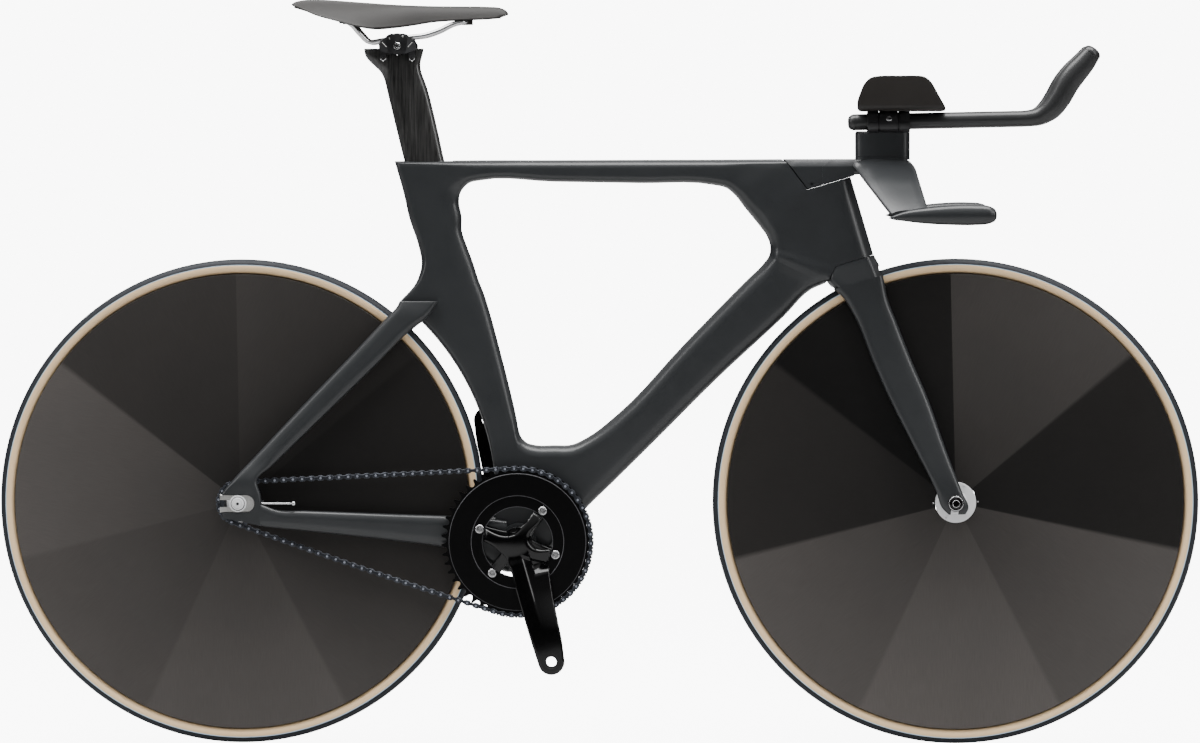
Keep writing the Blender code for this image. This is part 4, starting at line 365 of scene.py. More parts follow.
def rod(centre, radius, low, high, segments=64):  # a plain round bar across the bike
    return lathe([(0, low), (radius, low), (radius, high), (0, high)], centre, segments=segments)


def slab(loops, low, high):
    # Flat outlines in X and Z, the first with the rest as holes, made thick between two y
    low, high = sorted((low, high))
    bm = bmesh.new()
    edges = []
    for points in loops:
        verts = [bm.verts.new((x, low, z)) for x, z in points]
        edges += [bm.edges.new((verts[i], verts[i - 1])) for i in range(len(verts))]
    bmesh.ops.triangle_fill(bm, use_beauty=True, use_dissolve=False, edges=edges)
    made = bmesh.ops.extrude_face_region(bm, geom=bm.faces[:])
    moved = [item for item in made["geom"] if isinstance(item, bmesh.types.BMVert)]
    bmesh.ops.translate(bm, verts=moved, vec=(0, high - low, 0))
    return bm


def boxOf(first, second):
    low, high = zip(*(sorted(pair) for pair in zip(first, second)))
    corners = [(low[0], low[1]), (high[0], low[1]), (high[0], high[1]), (low[0], high[1])]
    return skin([[(x, y, z) for x, y in corners] for z in (low[2], high[2])])


def pipe(points, radii, sides=20):
    points = [Vector(point) for point in points]
    radii = radii if isinstance(radii, list) else [radii] * len(points)
    rings, normal = [], None
    for i, point in enumerate(points):
        along = (points[min(i + 1, len(points) - 1)] - points[max(i - 1, 0)]).normalized()
        normal = along.orthogonal() if normal is None else normal - along * normal.dot(along)
        normal.normalize()
        binormal = along.cross(normal)
        rings.append([point + (normal * cos(t) + binormal * sin(t)) * radii[i]
                      for t in (2 * pi * k / sides for k in range(sides))])
    return skin(rings)


def crossPipe(x, z, low, high, radius, sides=20):
    low, high = sorted((low, high))
    return pipe([(x, low, z), (x, high, z)], radius, sides)


def hexSocket(x, z, low, high, radius):
    return slab([arc((x, z), radius, 0.3, 0.3 + 2 * pi, 6)[:-1]], low, high)


def together(*parts):
    whole = bmesh.new()
    for part in parts:
        mesh = bpy.data.meshes.new("part")
        part.to_mesh(mesh)
        part.free()
        whole.from_mesh(mesh)
        bpy.data.meshes.remove(mesh)
    return whole


def solidObject(name, bm):
    bmesh.ops.recalc_face_normals(bm, faces=bm.faces)
    bmesh.ops.scale(bm, vec=(0.001, 0.001, 0.001), verts=bm.verts)
    mesh = bpy.data.meshes.new(name)
    bm.to_mesh(mesh)
    bm.free()
    return newObject(name, mesh)


def join(*tools):
    return [("UNION", tool) for tool in tools]


def cut(*tools):
    return [("DIFFERENCE", tool) for tool in tools]


def keep(tool):
    return [("INTERSECT", tool)]


def piece(name, bm, finishName, body, node="", changes=(), sharp=32):
    # One solid with its changes applied in turn, its finish, what it rides on and the node it stands for
    obj = solidObject(name, bm)
    for operation, toolShape in changes:
        tool = solidObject("tool", toolShape)
        modifier = obj.modifiers.new("carve", "BOOLEAN")
        modifier.operation = operation
        modifier.solver = "EXACT"
        modifier.object = tool
        depsgraph = bpy.context.evaluated_depsgraph_get()
        mesh = bpy.data.meshes.new_from_object(obj.evaluated_get(depsgraph))
        obj.modifiers.clear()
        old = obj.data
        obj.data = mesh
        bpy.data.meshes.remove(old)
        bpy.data.objects.remove(tool)
    material, ownSlot = materials[finishName]
    obj.data.materials.clear()
    obj.data.materials.append(material)
    obj.data.shade_smooth()
    obj.data.set_sharp_from_angle(angle=radians(sharp))
    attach(obj, body)
    if node:
        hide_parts(node)
    return obj


# Shared effects, as node groups that put out one value; an input without a number is a vector
def newGroup(name, output, **given):
    group = bpy.data.node_groups.new(name, "ShaderNodeTree")
    for label, default in given.items():
        kind = "NodeSocketVector" if default is None else "NodeSocketFloat"
        entry = group.interface.new_socket(name=label, in_out="INPUT", socket_type=kind)
        if default is not None:
            entry.default_value = default
    group.interface.new_socket(name=output, in_out="OUTPUT", socket_type="NodeSocketFloat")
    start, end = group.nodes.new("NodeGroupInput"), group.nodes.new("NodeGroupOutput")
    return group, start.outputs, end.inputs[output]


def makeGrainGroup():
    # Fine mottling of two sizes about 0.5
    group, given, result = newGroup("fineGrain", "Value", Vector=None, Scale=900.0, Strength=1.0)
    fine = addNode(group, "TexNoise", Vector=given["Vector"], Scale=given["Scale"], Detail=3.0, Roughness=0.6)
    broad = addNode(group, "TexNoise", Vector=given["Vector"], Scale=times(given["Scale"], 0.012),
                    Detail=2.0, Roughness=0.5)
    both = plus(times(fine.outputs["Fac"], 0.6), times(broad.outputs["Fac"], 0.4))
    plug(plus(times(minus(both, 0.5), given["Strength"]), 0.5), result)
    return group


def makeWeaveGroup():
    # Height of crossed threads
    group, given, result = newGroup("threadWeave", "Height", Vector=None, Threads=1200.0)
    split = addNode(group, "SeparateXYZ", Vector=given["Vector"])
    along, up = times(split.outputs["X"], given["Threads"]), times(split.outputs["Z"], given["Threads"])
    crossed = times(calc("SINE", plus(along, up)), calc("SINE", minus(along, up)))
    plug(plus(times(crossed, 0.5), 0.5), result)
    return group


def makeEdgeGroup():
    # Edge wear: 1 on worn corners, 0 on open surface
    group, given, result = newGroup("edgeWear", "Mask", Scale=60.0, Amount=0.5)
    place = addNode(group, "TexCoord").outputs["Object"]
    patch = addNode(group, "TexNoise", Vector=place, Scale=given["Scale"], Detail=4.0)
    worn = mapRange(addNode(group, "NewGeometry").outputs["Pointiness"], 0.53, 0.62)
    plug(calc("MULTIPLY", times(worn, patch.outputs["Fac"]), given["Amount"], clamp=True), result)
    return group


grainGroup, weaveGroup, edgeGroup = makeGrainGroup(), makeWeaveGroup(), makeEdgeGroup()


def grainOf(vector, scale, strength):
    node = addNode(vector.id_data, "Group", node_tree=grainGroup, Vector=vector, Scale=scale,
                   Strength=strength)
    return node.outputs[0]


def wearOf(vector, scale, amount):
    return addNode(vector.id_data, "Group", node_tree=edgeGroup, Scale=scale, Amount=amount).outputs[0]


def colourMix(factor, first, second):
    node = addNode(factor.id_data, "Mix", data_type="RGBA", Factor=factor)
    entries = [entry for entry in node.inputs if entry.type == "RGBA"]
    plug(first, entries[0])
    plug(second, entries[1])
    return [entry for entry in node.outputs if entry.type == "RGBA"][0]


def stretched(vector, scale, turn=(0, 0, 0)):
    return addNode(vector.id_data, "Mapping", Vector=vector, Scale=scale, Rotation=turn).outputs["Vector"]


def newMaterial(name):
    material = bpy.data.materials.new(name)
    material.use_nodes = True
    return material, addNode(material.node_tree, "TexCoord").outputs["Object"]


def finish(material, values, colour, rough, height):
    tree = material.node_tree
    relief = addNode(tree, "Bump", Height=height, Strength=values["relief"],
                     Distance=values.get("depth", 0.0002))
    fill(tree.nodes["Principled BSDF"], {**values["shader"], "Base Color": colour, "Roughness": rough,
                                         "Normal": relief.outputs["Normal"]})
    materials[material.name] = (material, values["slot"])


def grainyFinish(name, values):
    # A surface with fine mottling in colour, roughness and height, and paler worn corners
    material, vector = newMaterial(name)
    grain = grainOf(vector, values["grain"], values.get("contrast", 1.0))
    base = colourMix(grain, values["dark"], values["light"])
    base = colourMix(wearOf(vector, 70.0, values["wear"]), base, values["worn"])
    finish(material, values, base, between(grain, *values["rough"]), grain)


finishes = {
    "framePaint": {"dark": (0.0190, 0.0205, 0.0220), "light": (0.0290, 0.0310, 0.0330),
                   "worn": (0.050, 0.053, 0.056), "grain": 2600.0, "contrast": 1.2, "rough": (0.25, 0.33),
                   "relief": 0.05, "wear": 0.25, "shader": {"Specular IOR Level": 0.5},
                   "slot": "satin_carbon_paint"},
    "cupShell": {"dark": (0.010, 0.0085, 0.0075), "light": (0.022, 0.019, 0.017), "worn": (0.06, 0.055, 0.05),
                 "grain": 1500.0, "rough": (0.36, 0.5), "relief": 0.15, "wear": 0.4,
                 "shader": {"Specular IOR Level": 0.4}, "slot": "black_alloy"},
    "glossBlack": {"dark": (0.0006, 0.0006, 0.0007), "light": (0.0016, 0.0016, 0.0018),
                   "worn": (0.02, 0.02, 0.022), "grain": 400.0, "contrast": 0.6, "rough": (0.12, 0.17),
                   "relief": 0.004, "wear": 0.15, "slot": "gloss_black",
                   "shader": {"Specular IOR Level": 0.34, "Coat Weight": 0.15, "Coat Roughness": 0.05}},
    "blackAlloy": {"dark": (0.0045, 0.0045, 0.005), "light": (0.011, 0.011, 0.012),
                   "worn": (0.10, 0.10, 0.105), "grain": 1800.0, "rough": (0.26, 0.38), "relief": 0.08,
                   "wear": 0.5, "shader": {"Specular IOR Level": 0.5}, "slot": "black_alloy"},
    "hubSilver": {"dark": (0.66, 0.66, 0.67), "light": (0.92, 0.92, 0.93), "worn": (0.95, 0.95, 0.95),
                  "grain": 1100.0, "contrast": 1.4, "rough": (0.34, 0.46), "relief": 0.06, "wear": 0.3,
                  "shader": {"Metallic": 0.05}, "slot": "silver_alloy"},
    "polished": {"dark": (0.62, 0.62, 0.63), "light": (0.80, 0.80, 0.81), "worn": (0.9, 0.9, 0.9),
                 "grain": 1400.0, "rough": (0.14, 0.24), "relief": 0.04, "wear": 0.3,
                 "shader": {"Metallic": 1.0}, "slot": "silver_alloy"},
    "grainySilver": {"dark": (0.36, 0.355, 0.345), "light": (0.64, 0.635, 0.62), "worn": (0.82, 0.82, 0.8),
                     "grain": 2200.0, "contrast": 2.4, "rough": (0.38, 0.56), "relief": 0.35, "wear": 0.4,
                     "shader": {"Metallic": 0.85}, "slot": "silver_alloy"},
    "chainSteel": {"dark": (0.0050, 0.0058, 0.0082), "light": (0.024, 0.027, 0.035),
                   "worn": (0.20, 0.22, 0.26), "grain": 1600.0, "contrast": 1.6, "rough": (0.24, 0.38),
                   "relief": 0.08, "wear": 0.7, "shader": {"Metallic": 0.6, "Specular IOR Level": 0.6},
                   "slot": "dark_steel"},
    "pinSteel": {"dark": (0.20, 0.22, 0.27), "light": (0.36, 0.38, 0.44), "worn": (0.6, 0.62, 0.68),
                 "grain": 1600.0, "rough": (0.3, 0.42), "relief": 0.05, "wear": 0.4,
                 "shader": {"Metallic": 0.7}, "slot": "silver_alloy"},
    "padFoam": {"dark": (0.0060, 0.0058, 0.0056), "light": (0.016, 0.0155, 0.015),
                "worn": (0.03, 0.029, 0.028), "grain": 1500.0, "contrast": 1.8, "rough": (0.7, 0.85),
                "relief": 0.5, "wear": 0.2, "shader": {"Specular IOR Level": 0.3, "Sheen Weight": 0.15},
                "slot": "foam_pad"},
    "tubeSatin": {"dark": (0.014, 0.0145, 0.015), "light": (0.026, 0.0265, 0.0275),
                  "worn": (0.04, 0.04, 0.04), "grain": 2800.0, "contrast": 1.3, "rough": (0.27, 0.36),
                  "relief": 0.08, "wear": 0.2, "shader": {"Specular IOR Level": 0.5},
                  "slot": "satin_carbon_paint"},
}
for name, values in finishes.items():
    grainyFinish(name, values)

# Clear-coated carbon with dark and pale streaks that run up the post
postCloth = {"dark": (0.0050, 0.0050, 0.0049), "light": (0.048, 0.047, 0.046), "lean": 14.5, "relief": 0.04,
             "shader": {"Coat Weight": 0.6, "Coat Roughness": 0.08, "Specular IOR Level": 0.45},
             "slot": "bare_carbon"}


def postMaterial():
    material, vector = newMaterial("postCarbon")
    upward = stretched(vector, (1.0, 1.0, 0.035), (0, radians(postCloth["lean"]), 0))
    streak = addNode(material.node_tree, "TexNoise", Vector=upward, Scale=420.0, Detail=4.0, Roughness=0.7)
    base = colourMix(mapRange(streak.outputs["Fac"], 0.36, 0.68), postCloth["dark"], postCloth["light"])
    finish(material, postCloth, base, 0.3, streak.outputs["Fac"])


postMaterial()
print("finishes ready")


# Wheels: tubular tyre, lenticular disc skins laid in seven carbon sectors, rim and hub
wheel = {"segments": 240, "tyreHeight": 21.0, "tyreWidth": 21.0, "treadEdge": 7.6, "lineWidth": 1.1,
         "sectors": 7, "sectorStart": 91.2, "discEdgeHalf": 10.7, "discWall": 1.2, "hubRadius": 28.2,
         "hubHalf": {"front": 31.0, "rear": 27.0},
         "sectorSheen": {  # painted reflection: brightness at the two ends of each carbon sector, standing in for how its cloth catches the light
             "front": ((0.05, 0.01), (0.12, 0.12), (0.54, 0.58), (0.74, 0.74), (0.56, 0.56), (0.08, 0.08),
                       (0.34, 0.32)),
             "rear": ((0.19, 0.21), (0.54, 0.58), (0.48, 0.48), (0.58, 0.60), (0.46, 0.16), (0.07, 0.06),
                      (0.10, 0.26))}}
tyreRadius = nodeRadius("front_tyre")
rimRadius = tyreRadius - wheel["tyreHeight"]
rubber = {"tread": (0.012, 0.014, 0.018), "treadLight": (0.022, 0.025, 0.032), "line": (0.62, 0.78, 0.90),
          "tan": (1.0, 0.75, 0.46), "tanDark": (0.90, 0.62, 0.34), "glue": (0.50, 0.36, 0.22),
          "threads": 1500, "threadLean": 3.1, "relief": 0.12, "shader": {"Specular IOR Level": 0.3},
          "slot": "tyre_rubber"}
discCloth = {"dark": (0.0010, 0.0009, 0.0009), "light": (0.110, 0.100, 0.094), "rimward": 0.8, "relief": 0.10,
             "depth": 0.0001, "shader": {"Specular IOR Level": 0.16}, "slot": "disc_carbon"}


def aroundWheel(vector, centre):
    # Distance from the wheel's axis in millimetres, the turn from +X towards +Z as 0 to 1, and x and z
    split = addNode(vector.id_data, "SeparateXYZ", Vector=vector)
    x, z = minus(split.outputs["X"], centre.x / 1000), minus(split.outputs["Z"], centre.z / 1000)
    distance = times(calc("SQRT", plus(times(x, x), times(z, z))), 1000.0)
    return distance, calc("DIVIDE", calc("ARCTAN2", z, x), 2 * pi), x, z


def tyreMaterial(name, centre):
    material, vector = newMaterial(name)
    distance, turnShare = aroundWheel(vector, centre)[:2]
    around, outward = times(turnShare, 2 * pi * rubber["threads"]), times(distance, rubber["threadLean"])
    crossed = times(calc("SINE", plus(around, outward)), calc("SINE", minus(around, outward)))
    cloth = plus(times(crossed, 0.25), 0.5)
    stain = grainOf(vector, 260.0, 1.6)
    wall = colourMix(times(plus(cloth, stain), 0.5), rubber["tanDark"], rubber["tan"])
    tread = colourMix(stain, rubber["tread"], rubber["treadLight"])

    def beyond(limit, soft=0.25):
        return mapRange(distance, limit - soft, limit + soft)

    edge = tyreRadius - wheel["treadEdge"]
    base = colourMix(beyond(rimRadius + 2.0, 0.9), rubber["glue"], wall)
    base = colourMix(beyond(edge - wheel["lineWidth"]), base, rubber["line"])
    base = colourMix(beyond(edge), base, tread)
    finish(material, rubber, base, between(stain, 0.42, 0.67), cloth)


def discMaterial(name, centre, sectorSheen):
    # Each sector's cloth runs its own way, and the weave and fibres follow it; each sector's brightness is a
    # painted reflection of how its cloth catches the light
    material, vector = newMaterial(name)
    tree = material.node_tree
    distance, turnShare, x, z = aroundWheel(vector, centre)
    count = wheel["sectors"]
    share = calc("FRACT", plus(turnShare, 1.0 - wheel["sectorStart"] / 360))
    ramp = addNode(tree, "ValToRGB", Fac=share)
    stops = [(i + end * 0.998, tone) for i, pair in enumerate(sectorSheen) for end, tone in enumerate(pair)]
    while len(ramp.color_ramp.elements) < len(stops):
        ramp.color_ramp.elements.new(0.5)
    for element, (place, tone) in zip(ramp.color_ramp.elements, stops):
        element.position = place / count
        element.color = (tone, tone, tone, 1)
    sector = times(calc("FLOOR", times(share, float(count))), 2 * pi / count)
    middle = plus(sector, radians(wheel["sectorStart"]) + pi / count)
    alongX, alongZ = calc("COSINE", middle), calc("SINE", middle)
    across = minus(times(z, alongX), times(x, alongZ))
    along = plus(times(x, alongX), times(z, alongZ))
    laid = addNode(tree, "CombineXYZ", X=across, Z=along).outputs[0]
    weave = addNode(tree, "Group", node_tree=weaveGroup, Vector=laid, Threads=3300.0).outputs[0]
    fibre = addNode(tree, "TexNoise", Vector=stretched(laid, (1.0, 1.0, 0.05)), Scale=900.0, Detail=3.0)
    grain = grainOf(vector, 1200.0, 1.4)
    texture = plus(times(fibre.outputs["Fac"], 0.30), times(weave, 0.16))
    texture = plus(texture, times(grain, 0.24))
    outward = times(distance, discCloth["rimward"] / tyreRadius)
    # painted reflection: the sector's brightness, times the cloth's texture and a rise towards the rim
    tone = times(times(ramp.outputs["Color"], plus(texture, 0.65)),
                 plus(outward, 1.0 - 0.64 * discCloth["rimward"]))
    base = colourMix(tone, discCloth["dark"], discCloth["light"])
    finish(material, discCloth, base, between(grain, 0.46, 0.62), texture)


def tyreProfile():
    # The casing's foot on the rim, the round casing, and a tread cap that stands a little proud
    half = wheel["tyreWidth"] / 2
    middle = tyreRadius - half
    edge = asin((half - wheel["treadEdge"]) / half)
    side = [(rimRadius, 0.0), (rimRadius, 2.0)]
    for radius, start, end, count in ((half - 0.35, -radians(72), edge, 14), (half, edge, pi / 2, 12)):
        side += [(middle + radius * sin(t), radius * cos(t)) for t in turns(start, end, count)]
    side[-1] = (tyreRadius, 0.0)
    return mirrored(side)


def discProfile(hubHalf, side):
    # Slightly crowned skin from the rim's edge to the hub, with its wall behind it
    outer, inner = rimRadius + 0.25, wheel["hubRadius"] + gap + 0.1
    edge = wheel["discEdgeHalf"]
    shares = [i / 24 for i in range(25)]
    face = [(outer + (inner - outer) * t, edge + (hubHalf - edge) * t + 0.25 * sin(pi * t)) for t in shares]
    face = [(outer, face[0][1] - 0.8), (outer - 0.5, face[0][1])] + face[1:]
    back = [(r, y - wheel["discWall"]) for r, y in reversed(face[2:])] + [(outer, face[0][1] - 0.4)]
    return [(r, side * y) for r, y in face + back]


def makeWheel(which, centre):
    body, rubberName, clothName = which + "_wheel", which + "TyreRubber", which + "DiscCloth"
    tyreMaterial(rubberName, centre)
    discMaterial(clothName, centre, wheel["sectorSheen"][which])
    piece(which + "Tyre", lathe(tyreProfile(), centre, segments=wheel["segments"], closed=True), rubberName,
          body, which + "_tyre", sharp=50)
    for side, hand in hands:
        rows = discProfile(wheel["hubHalf"][which], side)
        disc = lathe(rows, centre, segments=wheel["segments"], closed=True)
        piece(which + "Disc" + hand.capitalize(), disc, clothName, body, which + "_disc_" + hand, sharp=40)


makeWheel("front", frontAxle)
makeWheel("rear", rearAxle)
print("wheels ready")


# Frame: the main triangle's half widths, the head's two joints and the seat's pocket
frameSizes = {"steps": 5, "seat": 13.8, "bottom": 16.5, "down": 18.5, "top": 16.0, "head": 22.0, "nose": 24.0,
              "headTube": 111.4, "cutoutRadius": 351.3, "shellRadius": 24.5, "shellHalf": 34.0,
              "seatAngle": 75.5, "seatRear": 225.6, "postChord": 55.5, "postHalf": 9.3, "wedgeLength": 12.0}
frameTop = nodeBox("seat_wedge")[1].z + 1.2
seatRear, upperSeam, nose = frameSizes["seatRear"], frameSizes["headTube"], frameSizes["nose"]
# Joints with the crown and the stem: height over the seam, and radius
lowerCone = ((0.0, 37.2), (-12.6, 48.2), (-19.2, 51.6))
upperCone = ((0.0, 44.0), (50.6, 60.6), (62.0, 64.7))
headMiddle = steer(upperSeam / 2)


def fromHead(x, z):
    return (headMiddle[0] + x, headMiddle[1] + z)


def fromSeat(x, z):
    return (seatRear + x, frameTop + z)


def overHead(x, z):
    return (headMiddle[0] + x, frameTop + z)


def cutout(up, extra):  # the seat tube's rear edge, round the rear wheel
    radius = frameSizes["cutoutRadius"] + extra
    return fromRear(sqrt(radius ** 2 - up ** 2), up)


def postRear(z):
    return seatRear - (z - frameTop) / tan(radians(frameSizes["seatAngle"]))


def frameStations():
    # Round the triangle: inner point, outer point, half width and two roundings
    seat, top, head = frameSizes["seat"], frameSizes["top"], frameSizes["head"]
    down, bottom = frameSizes["down"], frameSizes["bottom"]
    noseTop = steer(upperSeam + 26.1, nose)[0] - headMiddle[0]
    return [chord(row) for row in (
        (fromSeat, 79.3, -78.1, 6.4, -78.1, seat, 26, 10),
        (fromSeat, 75.8, -58.0, 0.3, -50.0, seat, 24, 10),
        (fromSeat, 77.2, -46.5, -13.3, -1.1, seat, 20, 9),
        (fromSeat, 81.5, -39.0, 24.0, -0.6, seat + 0.4, 16, 10),
        (fromSeat, 89.5, -31.8, 62.0, -0.3, seat + 1.0, 10, 11),
        (fromSeat, 105.3, -28.0, 98.0, 0.0, top - 0.6, 9, 11),
        (fromSeat, 206.5, -30.0, 206.0, 0.0, top, 9, 11),
        (fromSeat, 325.0, -32.1, 325.0, 0.3, top + 0.6, 9, 11),
        (fromHead, -181.3, 49.3, overHead, -167.3, 0.5, top + 2.0, 10, 11),
        (fromHead, -164.3, 45.4, overHead, -119.3, 0.8, head - 3.0, 12, 11),
        (fromHead, -151.0, 34.5, overHead, -79.3, 1.0, head - 1.0, 14, 12),
        (fromHead, -139.0, 19.0, overHead, noseTop, 1.0, head, 16, 12),
        (fromHead, -118.0, -7.0, steer, upperSeam - 29.2, nose, head, 18, 24),
        (fromHead, -108.3, -20.6, steer, 34.2, nose, head, 18, 26),
        (fromHead, -103.6, -34.0, steer, -27.8, nose, head, 18, 24),
        (fromHead, -104.8, -47.5, steer, -19.2, -51.3, head - 0.5, 18, 12),
        (fromHead, -112.9, -59.2, steer, -21.8, -71.5, head - 2.0, 18, 12),
        (fromHead, -134.0, -80.0, -83.0, -130.2, down + 1.0, 18, 14),
        (fromBracket, 227.0, 269.0, 276.1, 225.2, down, 18, 16),
        (fromBracket, 137.8, 175.0, 186.0, 135.3, down, 18, 16),
        (fromBracket, 94.0, 141.5, 130.0, 80.0, down, 16, 16),
        (fromBracket, 74.0, 132.2, 88.0, 38.6, down, 16, 16),
        (fromBracket, 48.0, 131.2, 52.0, -6.0, down - 0.5, 16, 14),
        (fromBracket, 23.5, 131.4, 20.0, -35.0, bottom + 1.0, 16, 12),
        (fromBracket, 11.2, 134.9, -16.0, -44.5, bottom + 0.5, 16, 10),
        (fromBracket, 3.6, 142.4, cutout, -87.0, 0.0, bottom, 18, 8),
        (fromBracket, 0.4, 151.0, cutout, -34.0, 0.0, bottom, 20, 8),
        (fromBracket, -2.4, 166.0, cutout, 15.0, 0.0, bottom - 0.5, 22, 8),
        (fromBracket, -6.6, 186.0, cutout, 66.0, 0.0, bottom - 1.0, 24, 8),
        (fromBracket, -15.2, 222.0, cutout, 116.0, 0.0, seat + 0.8, 26, 8),
        (fromBracket, -26.6, 266.4, cutout, 166.0, 0.0, seat, 28, 8),
        (fromBracket, -39.6, 314.8, cutout, 216.0, 0.0, seat, 28, 8),
        (fromBracket, -47.8, 341.0, cutout, 250.0, 0.0, seat, 28, 7),
        (fromBracket, -55.4, 360.3, cutout, 275.5, 0.6, seat, 28, 5),
        (fromBracket, -62.3, 382.4, fromSeat, 16.3, -168.3, seat, 28, 8),
        (fromBracket, -71.0, 406.0, fromSeat, 23.7, -142.4, seat, 27, 10),
        (fromBracket, -78.0, 428.0, fromSeat, 19.5, -118.0, seat, 26, 10))]


def steerLathe(profile, segments=128):
    return lathe(profile, (headFoot.x, 0, headFoot.z), steerUp, segments)


def upperPocket(grow=0.0, room=20.0, slack=0.0):
    wider = grow - slack
    rows = [(0, upperSeam - grow)]
    rows += [(radius + wider, upperSeam + rise - (grow if rise == 0 else 0)) for rise, radius in upperCone]
    top = upperSeam + upperCone[-1][0] + room
    return rows + [(upperCone[-1][1] + wider, top), (0, top)]


def makeMainFrame():
    ends = {"steps": frameSizes["steps"], "closed": True}
    stations = frameStations()
    inner = flowing([row[0] for row in stations], **ends)
    outer = flowing([row[1] for row in stations], **ends, corners=(2, 11, 14, 15, 25, 33))
    sizes = flowing([row[2:] for row in stations], **ends)
    rings = [bladeRing(a, b, 0.0, half, roundA, roundB, crown=0.02)
             for a, b, (half, roundA, roundB) in zip(inner, outer, sizes)]
    half, radius = frameSizes["shellHalf"], frameSizes["shellRadius"]
    shell = [(0, -half), (radius - 0.8, -half), (radius - 0.2, 0.2 - half), (radius, 0.8 - half)]
    joint = [(0, 0.0)] + [(wide, rise) for rise, wide in lowerCone] + [(lowerCone[-1][1], -60), (0, -60)]
    pocket, front = [], postRear(frameTop) + frameSizes["postChord"]
    for z in (frameTop - 90, frameTop + 8):
        start, end = postRear(z) - gap, postRear(z) + frameSizes["postChord"] + gap
        pocket.append(bladeRing((start, z), (end, z), 0.0, frameSizes["postHalf"] + gap, 20, 14))
    wedgeEnd = front + frameSizes["wedgeLength"] + gap
    wedge = boxOf((front - 3, -5.3, frameTop - 26), (wedgeEnd, 5.3, frameTop + 6))
    piece("mainFrame", skin(rings, closed=True), "framePaint", "frame", "main_frame",
          join(lathe(mirrored(shell), bracketMiddle, segments=64))
          + cut(rod(bracketMiddle, 17.3, -half - 5, half + 5, 48), steerLathe(joint),
                steerLathe(upperPocket()), skin(pocket), wedge))


def dropoutOutline(half, tail):  # round in front, open behind
    front = arc(fromRear(11.0, 0), half, pi / 2, -pi / 2, 24)
    return [fromRear(-tail, half), *front, fromRear(-tail, -half)]


stay = {"half": 7.0, "outer": 64.6, "steps": 6, "dropoutReach": 65.0, "dropoutHalf": 12.3, "slotHalf": 4.9,
        "screwY": 63.25, "screwRadius": 1.4, "screwTurns": 20, "screwRoom": 1.7}


def makeStay(side, hand):
    half, outer, seat, bottom = stay["half"], stay["outer"], frameSizes["seat"], frameSizes["bottom"]
    seatRows = (  # upper point, lower point, middle y, half thickness, two roundings
        (fromSeat, -6.0, -194.6, 46.8, -194.9, seat + 5.0, 6.5, 6, 6),
        (fromSeat, -9.6, -202.0, 36.0, -212.0, seat + 7.5, half + 0.5, 9, 9),
        (fromSeat, -26.0, -219.0, 12.0, -232.0, seat + 11.0, half + 0.3, 11, 11),
        (fromSeat, -66.0, -262.0, -34.0, -278.0, seat + 18.5, half, 12, 12),
        (fromRear, 84.0, 130.0, 112.0, 115.0, outer - 22.5, half, 12, 12),
        (fromRear, 20.0, 61.5, 46.0, 51.0, outer - 9.5, half - 1.0, 11, 11),
        (fromRear, -7.0, 32.5, 26.0, 31.0, outer - 0.5, half - 2.0, 8, 8),
        (fromRear, -22.0, 13.5, 31.5, 10.0, outer, 4.6, 3, 5),
        (fromRear, -22.0, -19.5, 33.5, -30.5, outer, 4.6, 3, 5))
    chainRows = (
        (fromRear, 8.0, 8.0, 6.0, -25.5, outer, 4.2, 4, 4),
        (fromRear, 33.0, -1.5, 31.0, -31.0, outer - 0.3, 4.6, 8, 8),
        (fromRear, 52.0, -8.3, 50.0, -33.5, outer - 3.5, 5.6, 9, 9),
        (fromRear, 92.4, -10.3, 90.0, -38.0, outer - 10.5, half - 0.5, 10, 10),
        (fromRear, 147.4, -12.7, 145.0, -44.4, outer - 18.5, half, 11, 11),
        (fromRear, 222.0, -16.0, 220.0, -53.5, outer - 29.0, half + 0.4, 12, 12),
        (fromBracket, -93.0, 35.0, -95.0, -9.5, bottom + 12.5, half + 0.8, 13, 13),
        (fromBracket, -68.0, 33.5, -66.0, -16.0, bottom + 10.0, half + 1.2, 14, 14),
        (fromBracket, -45.0, 32.0, -40.0, -32.0, bottom + 8.5, half + 1.6, 14, 12),
        (fromBracket, -16.0, 28.0, -13.0, -43.0, bottom + 8.0, half + 1.8, 14, 10))
    rings = blades(seatRows, stay["steps"], side)
    centre = [sum(point[i] for point in rings[0]) / len(rings[0]) for i in range(3)]
    first = rings[0]
    for inward, rise in ((0.018, 0.55), (0.05, 0.8)):  # the bevelled rim of the stay's top
        rings.insert(0, [(x + (centre[0] - x) * inward, y + (centre[1] - y) * inward * 4, z + rise)
                         for x, y, z in first])
    outline = dropoutOutline(stay["dropoutHalf"] + gap, stay["dropoutReach"])
    (seatX, seatZ), (x, z), y = fromSeat(-60, -260), fromBracket(-70, -80), -side * 30.0
    seatFlank = boxOf((seatX, y, seatZ), (seatX + 200, side * (seat + gap), seatZ + 140))
    bracketFlank = boxOf((x, y, z), (x + 130, side * (bottom + 0.9), z + 170))
    shellRoom = rod(bracketMiddle, frameSizes["shellRadius"] + gap, -60, 60)
    screw = [(rearAxle.x + reach, side * stay["screwY"], rearAxle.z) for reach in (10, 60)]
    piece("rearStay" + hand.capitalize(), skin(rings), "framePaint", "frame", "rear_stay_" + hand,
          join(skin(blades(chainRows, stay["steps"], side)))
          + cut(slab([outline], side * 48.0, side * 80.0), seatFlank, bracketFlank, shellRoom,
                pipe(screw, stay["screwRoom"], 16)))


# Fork: crown that wraps the head's foot and two deep blades
fork = {"steps": 6, "endY": 55.6, "tyreRoom": 6.5, "slotHalf": 13.7, "seamGap": 0.6, "axleSlot": 5.2}


